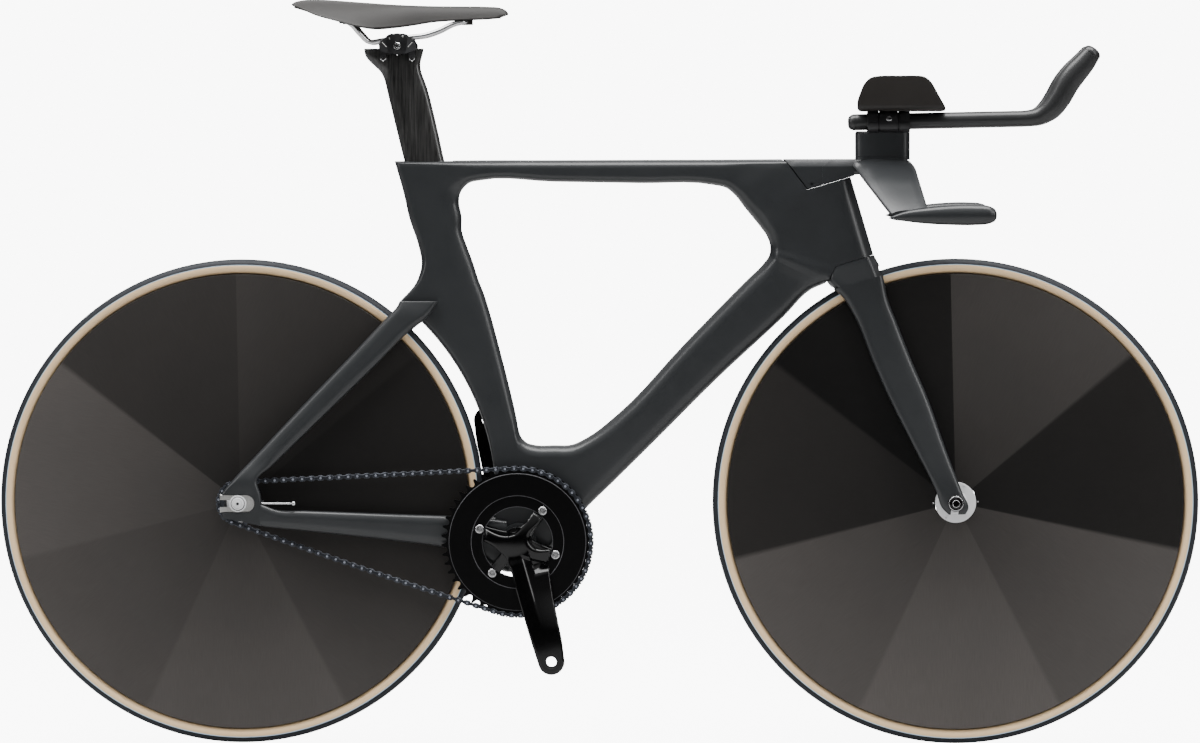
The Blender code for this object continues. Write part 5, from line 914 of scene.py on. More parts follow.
def makeFork():
    endY = fork["endY"]
    crownRows = (
        (steer, 12, -40.0, 12, nose + 0.3, 0, 22.0, 12, 14),
        (steer, -2, -43.0, -2, nose + 0.8, 0, 22.0, 12, 14),
        (steer, -13, -48.2, -14, nose + 3.3, 0, 24.0, 12, 15),
        (steer, -32, -41.0, -34, nose + 5.5, 0, 27.5, 12, 16),
        (steer, -46, -32.0, -48, nose + 6.0, 0, 28.5, 12, 16))
    bladeRows = (
        (steer, -30, -42.0, -30, nose + 4.8, 20.8, 7.0, 12, 16),
        (fromFront, -153.8, 280.0, -93.4, 280.6, 21.8, 7.0, 12, 16),
        (fromFront, -135.9, 249.4, -81.9, 250.4, 23.6, 7.2, 11, 16),
        (fromFront, -115.0, 197.0, -61.5, 198.0, 29.0, 7.2, 11, 16),
        (fromFront, -92.9, 146.9, -39.6, 146.9, 36.0, 7.0, 11, 16),
        (fromFront, -57.3, 75.9, -14.5, 75.6, 47.0, 6.2, 10, 14),
        (fromFront, -26.4, 14.0, 8.6, 14.6, endY, 5.2, 8, 10),
        (fromFront, -18.0, -8.0, 17.0, -7.0, endY, 5.0, 8, 9),
        (fromFront, -10.0, -15.4, 13.0, -15.0, endY, 4.2, 6, 7))
    clear, half = tyreRadius + fork["tyreRoom"], fork["slotHalf"]
    slot = [(clear - 60, -half), (clear - 5, -half), (clear - 1.4, 1.4 - half), (clear, 5 - half)]
    seam, opening = fork["seamGap"], fork["axleSlot"]
    edge = lowerCone[-1][0] - seam
    room = [(0, -seam)] + [(radius - seam, rise - seam) for rise, radius in lowerCone]
    mouth = [fromFront(-opening - 6, -40)] + arc(fromFront(0, 0), opening, pi, 0, 16)
    mouth.append(fromFront(opening - 6, -40))
    piece("forkBlades", skin(blades(crownRows, fork["steps"])), "framePaint", "steering", "fork",
          join(*(skin(blades(bladeRows, fork["steps"], side)) for side in (-1, 1)))
          + cut(lathe(mirrored(slot), frontAxle, segments=192, closed=True),
                steerLathe(room + [(90, edge), (90, 60), (0, 60)]), slab([mouth], -90, 90)))


makeMainFrame()
for side, hand in hands:
    makeStay(side, hand)
makeFork()
print("frame, stays and fork ready")


# Cockpit: stem cover, stem block with the wing bar and its horns, risers, clamps, extensions and arm cups
cockpit = {"split": -8.6, "splitLean": 13.5, "chamferTall": 10.4, "chamferWide": 5.2, "barHalfSpan": 190.0,
           "barThickness": 19.0, "barFlatHalf": 64.0, "hornHalfHeight": 13.8, "hornHalfWidth": 12.6,
           "hornDrop": 66.0, "riserRear": 36.5, "riserFront": 111.0, "riserHeight": 35.7, "riserHalf": 11.5,
           "spread": 48.0, "tubeRadius": 11.1, "tubeSlope": 1.1, "clampRear": 53.0, "clampLength": 58.0,
           "clampHalf": 15.5, "clampWall": 2.6, "steererRadius": 12.7}
deck = frameTop + 1.0  # the stem's top
clampLow = deck + 2 * gap + cockpit["riserHeight"]
clampHigh = clampLow + 2 * (cockpit["clampWall"] + cockpit["tubeRadius"]) + 1.4
barStart = steer(upperSeam + 25)[0]
barHeight = frameTop + 0.7 - cockpit["barThickness"] / 2


def barX(offset):  # forward of the steering axis where it leaves the head
    return barStart + offset


def stemRing(offset, low, half):
    wide, tall = cockpit["chamferWide"], cockpit["chamferTall"]
    side = [(half - wide - 1.6, deck), (half - wide - 0.5, deck - 0.35), (half - wide + 0.5, deck - 1.6),
            (half - 0.45, deck - tall + 1.2), (half - 0.05, deck - tall), (half, deck - tall - 1.2),
            (half, deck - low + 5.0), (half - 0.7, deck - low + 2.4), (half - 2.4, deck - low + 0.7),
            (half - 5.0, deck - low)]
    return [(barX(offset), y, z) for y, z in paired(side)]


def stemBore():
    radius, top = cockpit["steererRadius"] + gap, upperSeam + 24 + gap
    return steerLathe([(0, upperSeam - 20), (radius, upperSeam - 20), (radius, top), (0, top)], 48)


def stemPart(name, node, shift, away, changes):
    # The stem inside the head's pocket, less what lies beyond its seam: upright, then over the chamfer
    rows = flowing([(-76.0, 50.0, 19.0), (-10.0, 50.0, 21.0), (34.0, 50.0, 21.0)], 4)
    rows += flowing([(35.0, 22.0, 21.0), (60.0, 19.7, 25.0), (86.0, 18.0, 32.0)], 4)
    x, lean = barX(cockpit["split"]) + shift, cockpit["splitLean"]
    seam = [(x, frameTop - 90), (x, deck - cockpit["chamferTall"]), (x + lean, deck),
            (x + lean + 12, deck + 10)]
    beyond = slab([seam + [(x + away, deck + 10), (x + away, frameTop - 90)]], -70, 70)
    piece(name, skin([stemRing(*row) for row in rows]), "framePaint", "steering", node,
          keep(steerLathe(upperPocket(-0.35, 60, 1.7))) + cut(beyond) + changes)


def hornRing(x, rise, tall, wide, side):
    ring = []
    for i in range(32):
        c, s = cos(2 * pi * i / 32), sin(2 * pi * i / 32)
        swell = (abs(c) ** 2.3 + abs(s) ** 2.3) ** (-1 / 2.3)
        ring.append((barX(x), side * cockpit["barHalfSpan"] + cockpit["hornHalfWidth"] * wide * c * swell,
                     barHeight - cockpit["hornDrop"] + rise + cockpit["hornHalfHeight"] * tall * s * swell))
    return ring


def makeBar():
    half, span, z = cockpit["barThickness"] / 2, cockpit["barHalfSpan"], barHeight
    rows = [(0.0, 34.0, 115.0, z, half), (cockpit["barFlatHalf"], 34.0, 115.0, z, half),
            (0.47 * span, 37.5, 118.2, z - 4.5, half - 1.2), (0.62 * span, 47.8, 122.2, z - 18.5, half - 2.2),
            (0.80 * span, 64.0, 128.2, z - 39.5, half - 2.8),
            (0.94 * span, 77.5, 133.0, z - 57.0, half - 3.2), (span, 83.9, 135.0, z - 65.0, half - 3.4)]
    rows = [(-y, *rest) for y, *rest in reversed(rows[1:])] + rows
    rings = []
    for y, rear, front, height, thick in flowing(rows, 6):
        ring = bladeRing((barX(rear), height), (barX(front), height), 0, thick, 34, 17, 9, 6, 0.05)
        rings.append([(place[0], y, height + place[1]) for place in ring])
    horn = ((80.6, -3.6, 0.03, 0.06), (84.0, -3.4, 0.14, 0.25), (100.0, -1.5, 0.46, 0.5),
            (128.0, -0.4, 0.78, 0.82), (160.0, 0.4, 0.97, 0.98), (200.0, 0.6, 1.0, 1.0),
            (212.0, 0.6, 0.93, 0.93), (220.0, 0.4, 0.74, 0.75), (224.6, 0.2, 0.46, 0.48),
            (226.0, 0.1, 0.2, 0.2))
    horns = [skin([hornRing(*row, side) for row in flowing(horn, 4)]) for side in (-1, 1)]
    stemPart("wingBar", "base_bar", 0.0, -160, join(skin(rings), *horns) + cut(stemBore()))
    screw = crossPipe(barX(-8.6) - 14.6, frameTop - 33.4, -30, -18.5, 2.0, 24)
    stemPart("stemCover", "stem_tail", -0.06, 160, cut(stemBore(), screw))


def tubeHeight(offset):  # the extension's straight part rises gently forwards
    base = clampLow + cockpit["clampWall"] + cockpit["tubeRadius"] + 1.2
    return base + (offset - 82.0) * tan(radians(cockpit["tubeSlope"]))


def makeRiser(side, hand):
    low, top = deck + gap, cockpit["riserHeight"]
    rings = []
    for rise, inset in ((-1.5, 0.1), (0.0, 0.0), (1.9, 0.0), (2.2, 0.5), (2.6, 0.5), (2.9, 0.1),
                        (top - 0.2, 0.0), (top + 0.25, 0.3), (top + 0.3, 1.1), (top + 1.8, 1.1),
                        (top + 2.1, 1.6)):
        a, b = barX(cockpit["riserRear"]) + inset, barX(cockpit["riserFront"]) - inset
        rings.append(bladeRing((a, low + rise), (b, low + rise), side * cockpit["spread"],
                               cockpit["riserHalf"] - inset, 30, 15, 10, 6))
    piece("riser" + hand.capitalize(), skin(rings), "framePaint", "steering", "riser_" + hand)


def makeClamp(side, hand):
    y, half, low, high = side * cockpit["spread"], cockpit["clampHalf"], clampLow, clampHigh
    start, length = barX(cockpit["clampRear"]), cockpit["clampLength"]
    end = start + length
    first, second = start + 0.27 * length, end - 0.27 * length
    ledge = low + 0.46 * (high - low)
    rings = []
    for x, inset, waist in ((start, 0.6, 0.5), (start + 0.6, 0, 0.5), (first - 1.1, 0, 0.5),
                            (first - 0.7, 1.1, 0), (first + 0.7, 1.1, 0), (first + 1.1, 0, 0),
                            (second - 1.1, 0, 0), (second - 0.7, 1.1, 0), (second + 0.7, 1.1, 0),
                            (second + 1.1, 0, 0.5), (end - 0.6, 0, 0.5), (end, 0.6, 0.5)):
        a, corner = half - inset, 5.5
        ring = [(a - corner, high - inset), (a - 2.2 - waist, high - 1.8 - inset),
                (a - waist, high - corner - inset), (a - waist, ledge + 0.8), (a, ledge),
                (a, low + corner + inset), (a - 2.2, low + 1.8 + inset), (a - corner, low + inset)]
        rings.append([(x, y + s, z) for s, z in paired(ring)])
    rear = cockpit["clampRear"]
    ends = [(barX(x), y, tubeHeight(x)) for x in (rear - 20, rear + length + 20)]
    piece("extensionClamp" + hand.capitalize(), skin(rings), "blackAlloy", "steering",
          "extension_clamp_" + hand, cut(pipe(ends, cockpit["tubeRadius"] + gap, 64)))
    rows = [(0, 12.2), (3.4, 12.2), (3.9, 12.7), (3.9, 14.0), (3.2, 14.7), (1.9, 14.9), (1.6, 13.8),
            (0, 13.6)]
    middle = ((first + second) / 2 + 0.4, y, ledge + 5.6)
    head = lathe([(r, side * (h + 1.4)) for r, h in rows], middle, segments=48)
    piece("pinchBolt" + hand.capitalize(), head, "polished", "steering")


# The extension: forward of the steering axis, height and radius, and the grip's and the end cap's own rows
tube = {"tail": ((26.6, 3.0), (26.9, 5.4), (28.0, 7.9), (30.5, 10.0), (33.5, 10.9), (35.7, 11.1),
                 (35.9, 10.7), (36.3, 10.7), (36.6, 11.1)),
        "straight": (60.0, 110.0, 170.0, 220.0, 250.0),
        "grip": ((270.0, 0.4, 11.2), (288.0, 3.4, 12.6), (303.0, 13.5, 15.4), (314.0, 28.0, 16.6),
                 (325.5, 48.0, 17.0), (336.5, 62.5, 16.6), (348.4, 75.8, 15.2), (354.2, 83.2, 14.0),
                 (358.1, 88.3, 13.1)),
        "cap": ((0.3, 13.0), (0.5, 12.3), (0.9, 12.3), (1.1, 13.0), (3.0, 12.8), (5.0, 12.0), (7.0, 10.4),
                (8.4, 8.1), (9.3, 5.2), (9.7, 2.4))}


def makeExtension(side, hand):
    y, base = side * cockpit["spread"], tubeHeight(262.0)
    path = [(barX(offset), tubeHeight(offset), radius) for offset, radius in tube["tail"]]
    straight = [(barX(offset), tubeHeight(offset), 11.1) for offset in tube["straight"]]
    path += flowing(straight + [(barX(x), base + rise, r) for x, rise, r in tube["grip"]], 5)
    (x0, z0), (x1, z1) = path[-2][:2], path[-1][:2]
    heading = Vector((x1 - x0, z1 - z0)).normalized()
    path += [(x1 + heading.x * reach, z1 + heading.y * reach, radius) for reach, radius in tube["cap"]]
    piece("extension" + hand.capitalize(), pipe([(x, y, z) for x, z, r in path], [r for x, z, r in path], 40),
          "tubeSatin", "extension_" + hand, "extension_" + hand)


# Arm cups: share of the length, rise of the underside and height of the wall
cup = {"rear": 40.0, "length": 118.5, "width": 84.0, "wall": 3.5, "spread": 66.0, "pad": 8.0}
cupRows = ((0.000, 6.0, 12.0), (0.005, 3.5, 16.0), (0.020, 1.2, 21.5), (0.045, 0.2, 29.5), (0.070, 0.0, 36.5),
           (0.100, 0.0, 41.5), (0.130, 0.0, 44.4), (0.170, 0.0, 46.4), (0.240, 0.0, 47.7), (0.450, 0.0, 48.0),
           (0.673, 0.0, 48.0), (0.720, 0.0, 47.7), (0.765, 0.0, 46.2), (0.825, 0.0, 41.0), (0.895, 0.0, 27.7),
           (0.965, 0.0, 12.6), (0.990, 0.2, 7.6), (0.996, 1.0, 5.8), (1.000, 2.0, 4.6))


def cupRing(reach, rise, height, y, inset, wall):
    # A trough open at the top, with rounded corners and rounded lips
    half = cup["width"] / 2 - inset
    low, high = clampHigh + gap + inset + rise, clampHigh + gap + inset + height
    bend, depth = min(9.0, 0.8 * (high - low)), min(wall, 0.45 * (high - low))
    turn, quarter = max(0.6, bend - depth), turns(0, pi / 2, 7)
    outside = [(half, high - 0.6)]
    outside += [(half - bend * (1 - cos(t)), low + bend * (1 - sin(t))) for t in quarter]
    inside = [(half - wall, high - 0.6)]
    inside += [(half - wall - turn * (1 - cos(t)), low + depth + turn * (1 - sin(t))) for t in quarter]
    ring = paired([(half - 0.5, high)] + outside)
    ring += [(-a, z) for a, z in paired([(half - wall - 0.5, high)] + inside)]
    return [(barX(cup["rear"] + reach), y + a, z) for a, z in ring]


def cupRings(rows, side, inset, wall):
    return [cupRing(*row, side * cup["spread"], inset, wall) for row in flowing(rows, 3)]


def makeCup(side, hand):
    rows = [(share * cup["length"], rise, height) for share, rise, height in cupRows]
    piece("armCup" + hand.capitalize(), skin(cupRings(rows, side, 0.0, cup["wall"])), "cupShell", "steering",
          "arm_cup_" + hand)


def makePad(side, hand):
    # Foam in the cup, a little below its lips
    inset = cup["wall"] + gap + 0.3
    rows = [(share * cup["length"], rise, max(height - inset - 3.0, cup["pad"] + 1.0))
            for share, rise, height in cupRows[3:-3]]
    foam = skin(cupRings(rows, side, inset, cup["pad"]))
    pad = piece("armPad" + hand.capitalize(), foam, "padFoam", "steering", "arm_pad_" + hand, sharp=60)


for side, hand in hands:
    makeRiser(side, hand)
    makeClamp(side, hand)
    makeExtension(side, hand)
    makeCup(side, hand)
makeBar()
print("cockpit ready")


# Seat: post, rails and saddle
seat = {"drumRadius": 15.0, "railRadius": 3.5, "railSpread": 22.0, "railAngle": 6.5, "length": 297.0,
        "width": 132.0, "tail": 145.6, "foreMost": 12.0,
        "post": (  # height over the frame's top, and the rear and front edges forward of the post's line
            (-78.0, 0.0, 0.0), (5.0, 0.0, 0.0), (40.0, 0.4, 1.6), (70.0, 1.0, 2.4), (92.0, 1.4, 2.6),
            (104.0, 1.8, 2.0), (114.0, 1.4, 0.8), (122.0, -1.0, 0.2), (129.0, -6.2, 0.8), (135.5, -11.4, 2.8),
            (141.0, -14.8, 5.6), (147.5, -16.0, 9.0), (153.2, -15.4, 11.4))}
clampX, clampZ = jointPlace("saddle_tilt").x, jointPlace("saddle_tilt").z
drum = seat["drumRadius"] - 0.3


def makePost():
    half = frameSizes["postHalf"]
    rows = []
    for up, rear, front in seat["post"]:
        start = postRear(frameTop + up)
        rows.append((start + rear, start + frameSizes["postChord"] + front, frameTop + up))
    rings = [bladeRing((a, z), (b, z), 0.0, half, 20, 15, 9, 7) for a, b, z in flowing(rows, 4)]
    a, b, z = rows[-1]
    rings.append(bladeRing((a + 0.5, z + 0.7), (b - 0.5, z + 0.7), 0.0, half - 0.5, 20, 15, 9, 7))
    troughs = [crossPipe(clampX, clampZ, -20, 20, drum + gap, 96)]
    for name in ("clamp_barrel_rear", "clamp_barrel_front"):
        low, high = nodeBox(name)
        middle = (low + high) / 2
        troughs.append(crossPipe(middle.x, middle.z, -20, 20, nodeRadius(name) + gap, 48))
    piece("seatPost", skin(rings), "postCarbon", "seatpost", "seatpost", cut(*troughs), sharp=40)


def railPath(shift=0.0):
    # The bent rod from one rear end round the nose to the other, slid forward along its slope
    slope = tan(radians(seat["railAngle"]))
    half = [(-72.0, 35.0, 31.5), (-64.0, 34.0, 27.5), (-52.0, 29.0, 14.5)]
    half += [(x, seat["railSpread"], 7.0 + x * slope) for x in (-38.5, -22.0, 0.0, 20.0, 36.0)]
    half += [(56.0, 19.0, 17.5), (76.0, 12.5, 27.0), (90.0, 9.0, 30.5)]
    path = [(x, -y, z) for x, y, z in half] + [(96.0, 0.0, 31.0)] + half[::-1]
    path = flowing([(clampX + x, y, clampZ + z) for x, y, z in path], 5)
    return [(x + shift, y, z + shift * slope) for x, y, z in path]


# Saddle rows: share of the length from the tail, crown height, edge height, share of the half width
saddleRows = (
    (0.000, 56.0, 55.0, 0.36), (0.014, 58.5, 53.0, 0.60), (0.050, 60.8, 49.0, 0.80),
    (0.120, 61.5, 40.0, 0.96), (0.210, 60.0, 32.5, 1.00), (0.300, 58.0, 25.5, 0.93),
    (0.370, 56.5, 22.5, 0.76), (0.450, 54.8, 23.5, 0.52), (0.540, 53.4, 26.5, 0.36),
    (0.650, 52.3, 31.5, 0.29), (0.780, 51.8, 34.0, 0.27), (0.900, 51.2, 35.5, 0.25),
    (0.965, 49.5, 38.0, 0.20), (0.990, 46.0, 40.5, 0.14), (1.000, 42.5, 41.0, 0.06),
)
saddleSkin = {"dark": (0.014, 0.013, 0.0125), "light": (0.042, 0.040, 0.038), "worn": (0.085, 0.082, 0.078),
              "relief": 0.35, "depth": 0.00025, "shader": {"Specular IOR Level": 0.26, "Sheen Weight": 0.05},
              "slot": "saddle_cover"}


def saddleMaterial():
    material, vector = newMaterial("saddleCover")
    pebble = addNode(material.node_tree, "TexVoronoi", Vector=vector, Scale=1100.0)
    height = plus(times(pebble.outputs["Distance"], 0.55), times(grainOf(vector, 1700.0, 1.5), 0.5))
    base = colourMix(height, saddleSkin["dark"], saddleSkin["light"])
    base = colourMix(wearOf(vector, 40.0, 0.5), base, saddleSkin["worn"])
    finish(material, saddleSkin, base, between(height, 0.40, 0.62), height)


def makeSaddle():
    rows = flowing([(share * seat["length"], top, edge, wide * seat["width"] / 2)
                    for share, top, edge, wide in saddleRows], 5)
    rings = []
    for reach, top, edge, half in rows:
        x, upper, lower = clampX - seat["tail"] + reach, [], []
        for t in [1 - i / 15 for i in range(31)]:
            z = clampZ + top - (top - edge) * abs(t) ** 2.6
            pad = 1.6 + (min(9.0, 0.6 * (top - edge) + 1.0) - 1.6) * (1 - t * t)
            upper.append((x, half * t, z))
            lower.append((x, 0.94 * half * t, z - pad))
        rings.append(upper + lower[::-1])
    cover = piece("saddleCover", skin(rings), "saddleCover", "saddle", "saddle_cover", sharp=50)


makePost()
piece("saddleRails", pipe(railPath(), seat["railRadius"], 24), "polished", "saddle", "saddle_rails", sharp=60)
saddleMaterial()
makeSaddle()
for side, hand in hands:
    makePad(side, hand)
print("seat and arm pads ready")


# Hubs, axles, dropouts and bearings, each turned or cut on its own axle
hub = {"flange": 28.1, "bore": 8.7, "socket": 2.4, "pinRadius": 30.6, "pin": 1.3, "hole": 1.3,
       "holeRadius": 24.6, "rod": 4.7, "spindleBore": 12.2, "cupFace": 34.3}


def makeHub(which, centre):
    # Flanged shell between the discs, with bearing caps, two tool holes and two disc pins
    body, hubHalf, end = which + "_wheel", wheel["hubHalf"][which], nodeBox(which + "_hub")[1].y
    r, bore, pin, flange = hub["flange"], hub["bore"], hub["pin"], hubHalf + 1.0
    side = [(bore, 0), (bore, end - 0.8), (bore + 0.8, end), (13.8, end), (14.6, end - 0.8),
            (15.2, flange + 2.4), (16.4, flange + 1.2), (r - 2.2, flange + 1.0), (r - 0.9, flange + 0.6),
            (r, flange - 0.5), (r, flange - 3.5), (r - 0.6, flange - 4.0), (13.5, flange - 6.0),
            (12.6, flange - 9.0), (12.6, 0)]
    holes, pins = [], []
    for angle in (62, -122):
        x, z = onCircle(centre, hub["holeRadius"], radians(angle))
        for reach in (-1, 1):
            holes.append(crossPipe(x, z, reach * (flange - 1.6), reach * (flange + 6), hub["hole"]))
    for angle in (2, 182):
        x, z = onCircle(centre, hub["pinRadius"], radians(angle))
        for reach in (-1, 1):
            y = reach * (hubHalf - 0.6)
            pins.append(lathe([(0, y), (pin, y), (pin, y + reach * 1.0), (pin - 0.4, y + reach * 1.5),
                               (0, y + reach * 1.7)], (x, 0, z), segments=20))
    piece(which + "HubShell", lathe(mirrored(side), centre, segments=128, closed=True), "hubSilver", body,
          which + "_hub", cut(*holes), sharp=28)
    piece(which + "DiscPins", together(*pins), "polished", body)


def makeAxle(which, centre, body, shoulder):
    thin, r, end = hub["rod"], nodeRadius(which + "_axle"), nodeBox(which + "_axle")[1].y
    start = end - shoulder
    side = [(0, end - 11), (thin - 1.6, end - 11), (thin - 1.6, end), (thin - 0.5, end), (thin, end - 0.5),
            (thin, start), (r - 0.6, start), (r, start - 0.6), (r, start - 9.0), (thin, start - 9.6)]
    piece(which + "AxleRod", lathe(mirrored(side), centre, segments=64), "grainySilver", body,
          which + "_axle")


# Bolts: radius and height over the seat, and the rings set into them as radius, height and thickness
bolt = {"seat": 8.2}
bolt["rear"] = {
    "rows": ((11.5, 0.0), (11.8, 0.4), (11.8, 1.6), (11.3, 2.2), (9.7, 2.4), (9.6, 1.2), (8.7, 1.2),
             (8.6, 2.6), (8.5, 5.4), (8.1, 6.4), (6.6, 6.8), (6.4, 6.0), (5.9, 6.0), (5.7, 7.0), (2.6, 7.6)),
    "rings": ((9.15, 1.5, 0.45),), "finish": "hubSilver", "slot": "silver_alloy", "seal": "blackAlloy"}
bolt["front"] = {
    "rows": ((10.7, 0.0), (11.0, 0.4), (11.0, 1.6), (10.4, 2.2), (8.4, 2.4), (8.2, 3.0), (8.1, 6.0),
             (7.4, 7.2), (5.8, 7.5), (5.4, 6.6), (4.2, 6.6), (3.9, 7.6)),
    "rings": ((9.3, 2.5, 0.85), (4.8, 6.9, 0.6)), "finish": "glossBlack", "slot": "black_alloy",
    "seal": "polished"}


def makeBolt(which, side, hand, centre, body):
    node, made = which + "_axle_bolt_" + hand, bolt[which]
    inner, outer = sorted(abs(corner.y) for corner in nodeBox(node))
    seatY = outer - bolt["seat"]
    rows = [(0, inner), (3.0, inner), (3.0, seatY)] + [(r, seatY + rise) for r, rise in made["rows"]]
    rows.append((0, rows[-1][1]))
    socket = hexSocket(centre.x, centre.z, side * (seatY + 3.4), side * (seatY + 12), hub["socket"])
    piece(which + "Bolt" + hand.capitalize(), lathe([(r, side * y) for r, y in rows], centre), made["finish"],
          body, node, cut(socket), sharp=26)
    rings = []
    for r, rise, thick in made["rings"]:
        section = circle((r, seatY + rise), thick, 20)
        rings.append(lathe([(radius, side * y) for radius, y in section], centre, closed=True))
    if which == "rear":  # painted shade: a black disc in the socket stands in for its shadowed floor
        rings.append(rod(centre, 1.9, side * (seatY + 3.8), side * (seatY + 5.6), 24))
    piece(which + "Seal" + hand.capitalize(), together(*rings), made["seal"], body)


def makeDropout(side, hand):
    # Track end with a slot that opens to the rear, and the tensioner's screw forward of the axle
    low, high = nodeBox("dropout_" + hand)
    half, slotHalf, y = high.z, stay["slotHalf"], (low.y + high.y) / 2
    outline, inset = dropoutOutline(half, -low.x), dropoutOutline(half - 0.8, -low.x - 0.8)
    outerY, innerY = (low.y, high.y) if side < 0 else (high.y, low.y)
    levels = (innerY, innerY + 0.8 * side, outerY - 0.8 * side, outerY)
    rings = [[(x, level, z) for x, z in points] for points, level in
             zip((inset, outline, outline, inset), levels)]
    slot = [fromRear(-60, slotHalf)] + arc(fromRear(0.6, 0), slotHalf, pi / 2, -pi / 2, 20)
    slot.append(fromRear(-60, -slotHalf))
    hole = pipe([(rearAxle.x, y, rearAxle.z), (rearAxle.x + 60, y, rearAxle.z)], stay["screwRoom"])
    piece("dropoutPlate" + hand.capitalize(), skin(rings), "grainySilver", "frame", "dropout_" + hand,
          cut(slab([slot], low.y - 5, high.y + 5), hole), sharp=26)
    low, high = nodeBox("tensioner_" + hand)
    length, ball, r = high.x - low.x, (high.z - low.z) / 2, stay["screwRadius"]
    rows = [(0, 0), (r, 0), (r, 4.0)]
    for along in turns(4.0, length - 2 * ball - 8.0, stay["screwTurns"])[:-1]:
        rows += [(r, along), (r - 0.25, along + 0.35)]
    rows += [(r, length - 2 * ball - 7.0), (r, length - 2 * ball + 0.3)]
    rows += [(ball * sin(t), length - ball - ball * cos(t)) for t in turns(radians(27), pi, 12)[:-1]]
    screw = lathe(rows + [(0, length)], (low.x, y, rearAxle.z), (1, 0, 0), 32)
    piece("tensionScrew" + hand.capitalize(), screw, "polished", "frame", "tensioner_" + hand, sharp=50)


def makeBearingCup(side, hand):
    # Bottom bracket cup with tool notches
    node, face = "bb_cup_" + hand, hub["cupFace"]
    inner, outer = sorted(abs(corner.y) for corner in nodeBox(node))
    r = nodeRadius(node)
    rows = [(15.6, inner), (16.9, inner), (16.9, face - 0.1), (r - 0.3, face), (r, face + 0.3),
            (r, outer - 0.8), (r - 0.8, outer), (15.9, outer), (15.4, outer - 0.5)]
    places = [onCircle(bracket, r + 0.9, 2 * pi * i / 16) for i in range(16)]
    notches = [crossPipe(*place, side * (face - 0.2), side * (outer + 4), 1.8, 14) for place in places]
    shell = lathe([(radius, side * y) for radius, y in rows], bracketMiddle, closed=True)
    piece("bracketCup" + hand.capitalize(), shell, "blackAlloy", "frame", node, cut(*notches), sharp=30)


def makeSpindle():
    low, high = nodeBox("crank_spindle")
    r, bore, start, end = nodeRadius("crank_spindle"), hub["spindleBore"], low.y + 1.5, high.y - 0.5
    rows = [(bore - 0.8, start + 0.6), (bore, start), (r - 0.9, start), (r, start + 0.9), (r, end - 0.9),
            (r - 0.9, end), (bore, end), (bore - 0.8, end - 0.6)]
    piece("spindleTube", lathe(rows, bracketMiddle, closed=True), "blackAlloy", "crankset", "crank_spindle")


def makeWedge():
    # Clamp cover behind the post, with its screw
    low, high = nodeBox("seat_wedge")
    plan = [(low.x, low.y + 1.2), (low.x + 1.2, low.y), (high.x - 3.0, low.y), (high.x - 0.9, low.y + 1.6),
            (high.x, 0), (high.x - 0.9, high.y - 1.6), (high.x - 3.0, high.y), (low.x + 1.2, high.y),
            (low.x, high.y - 1.2)]
    middle = (low.x + high.x) / 2
    rings = [[(middle + (x - middle) * share, y * share, z) for x, y in plan] for z, share in
             ((low.z, 0.94), (low.z + 0.8, 1.0), (high.z - 0.8, 1.0), (high.z, 0.93))]
    screw = arc((low.x + 0.55 * (high.x - low.x), 0), 2.2, 0, 2 * pi, 6)[:-1]
    piece("postWedge", skin(rings), "blackAlloy", "frame", "seat_wedge",
          cut(skin([[(x, y, z) for x, y in screw] for z in (high.z - 4, high.z + 4)])))


# Saddle clamp about its drum: outlines forward of and over the drum's middle
yoke = {"strapInner": 12.7, "strap": 2.4, "legHalf": 4.3, "earInner": 27.2, "earThick": 2.2, "rib": 0.6,
        "head": 4.8, "boltDrop": 3.0,
        "ear": ((-25.0, -8.5), (-25.5, -1.5), (-19.7, 6.1), (-12.8, 12.3), (-8.0, 14.3), (-4.0, 13.2),
                (4.0, 13.2), (8.8, 14.3), (14.6, 11.2), (21.1, 6.1), (25.4, -1.5), (25.0, -8.5),
                (12.0, -13.5), (-12.0, -13.5)),
        "ribs": ((-20.8, 2.0, -14.6, -4.6), (20.8, 2.0, 14.6, -4.6), (-11.0, 8.5, -7.4, -1.0),
                 (8.4, 11.5, 6.6, 3.4), (8.4, 11.5, 3.4, 8.4))}


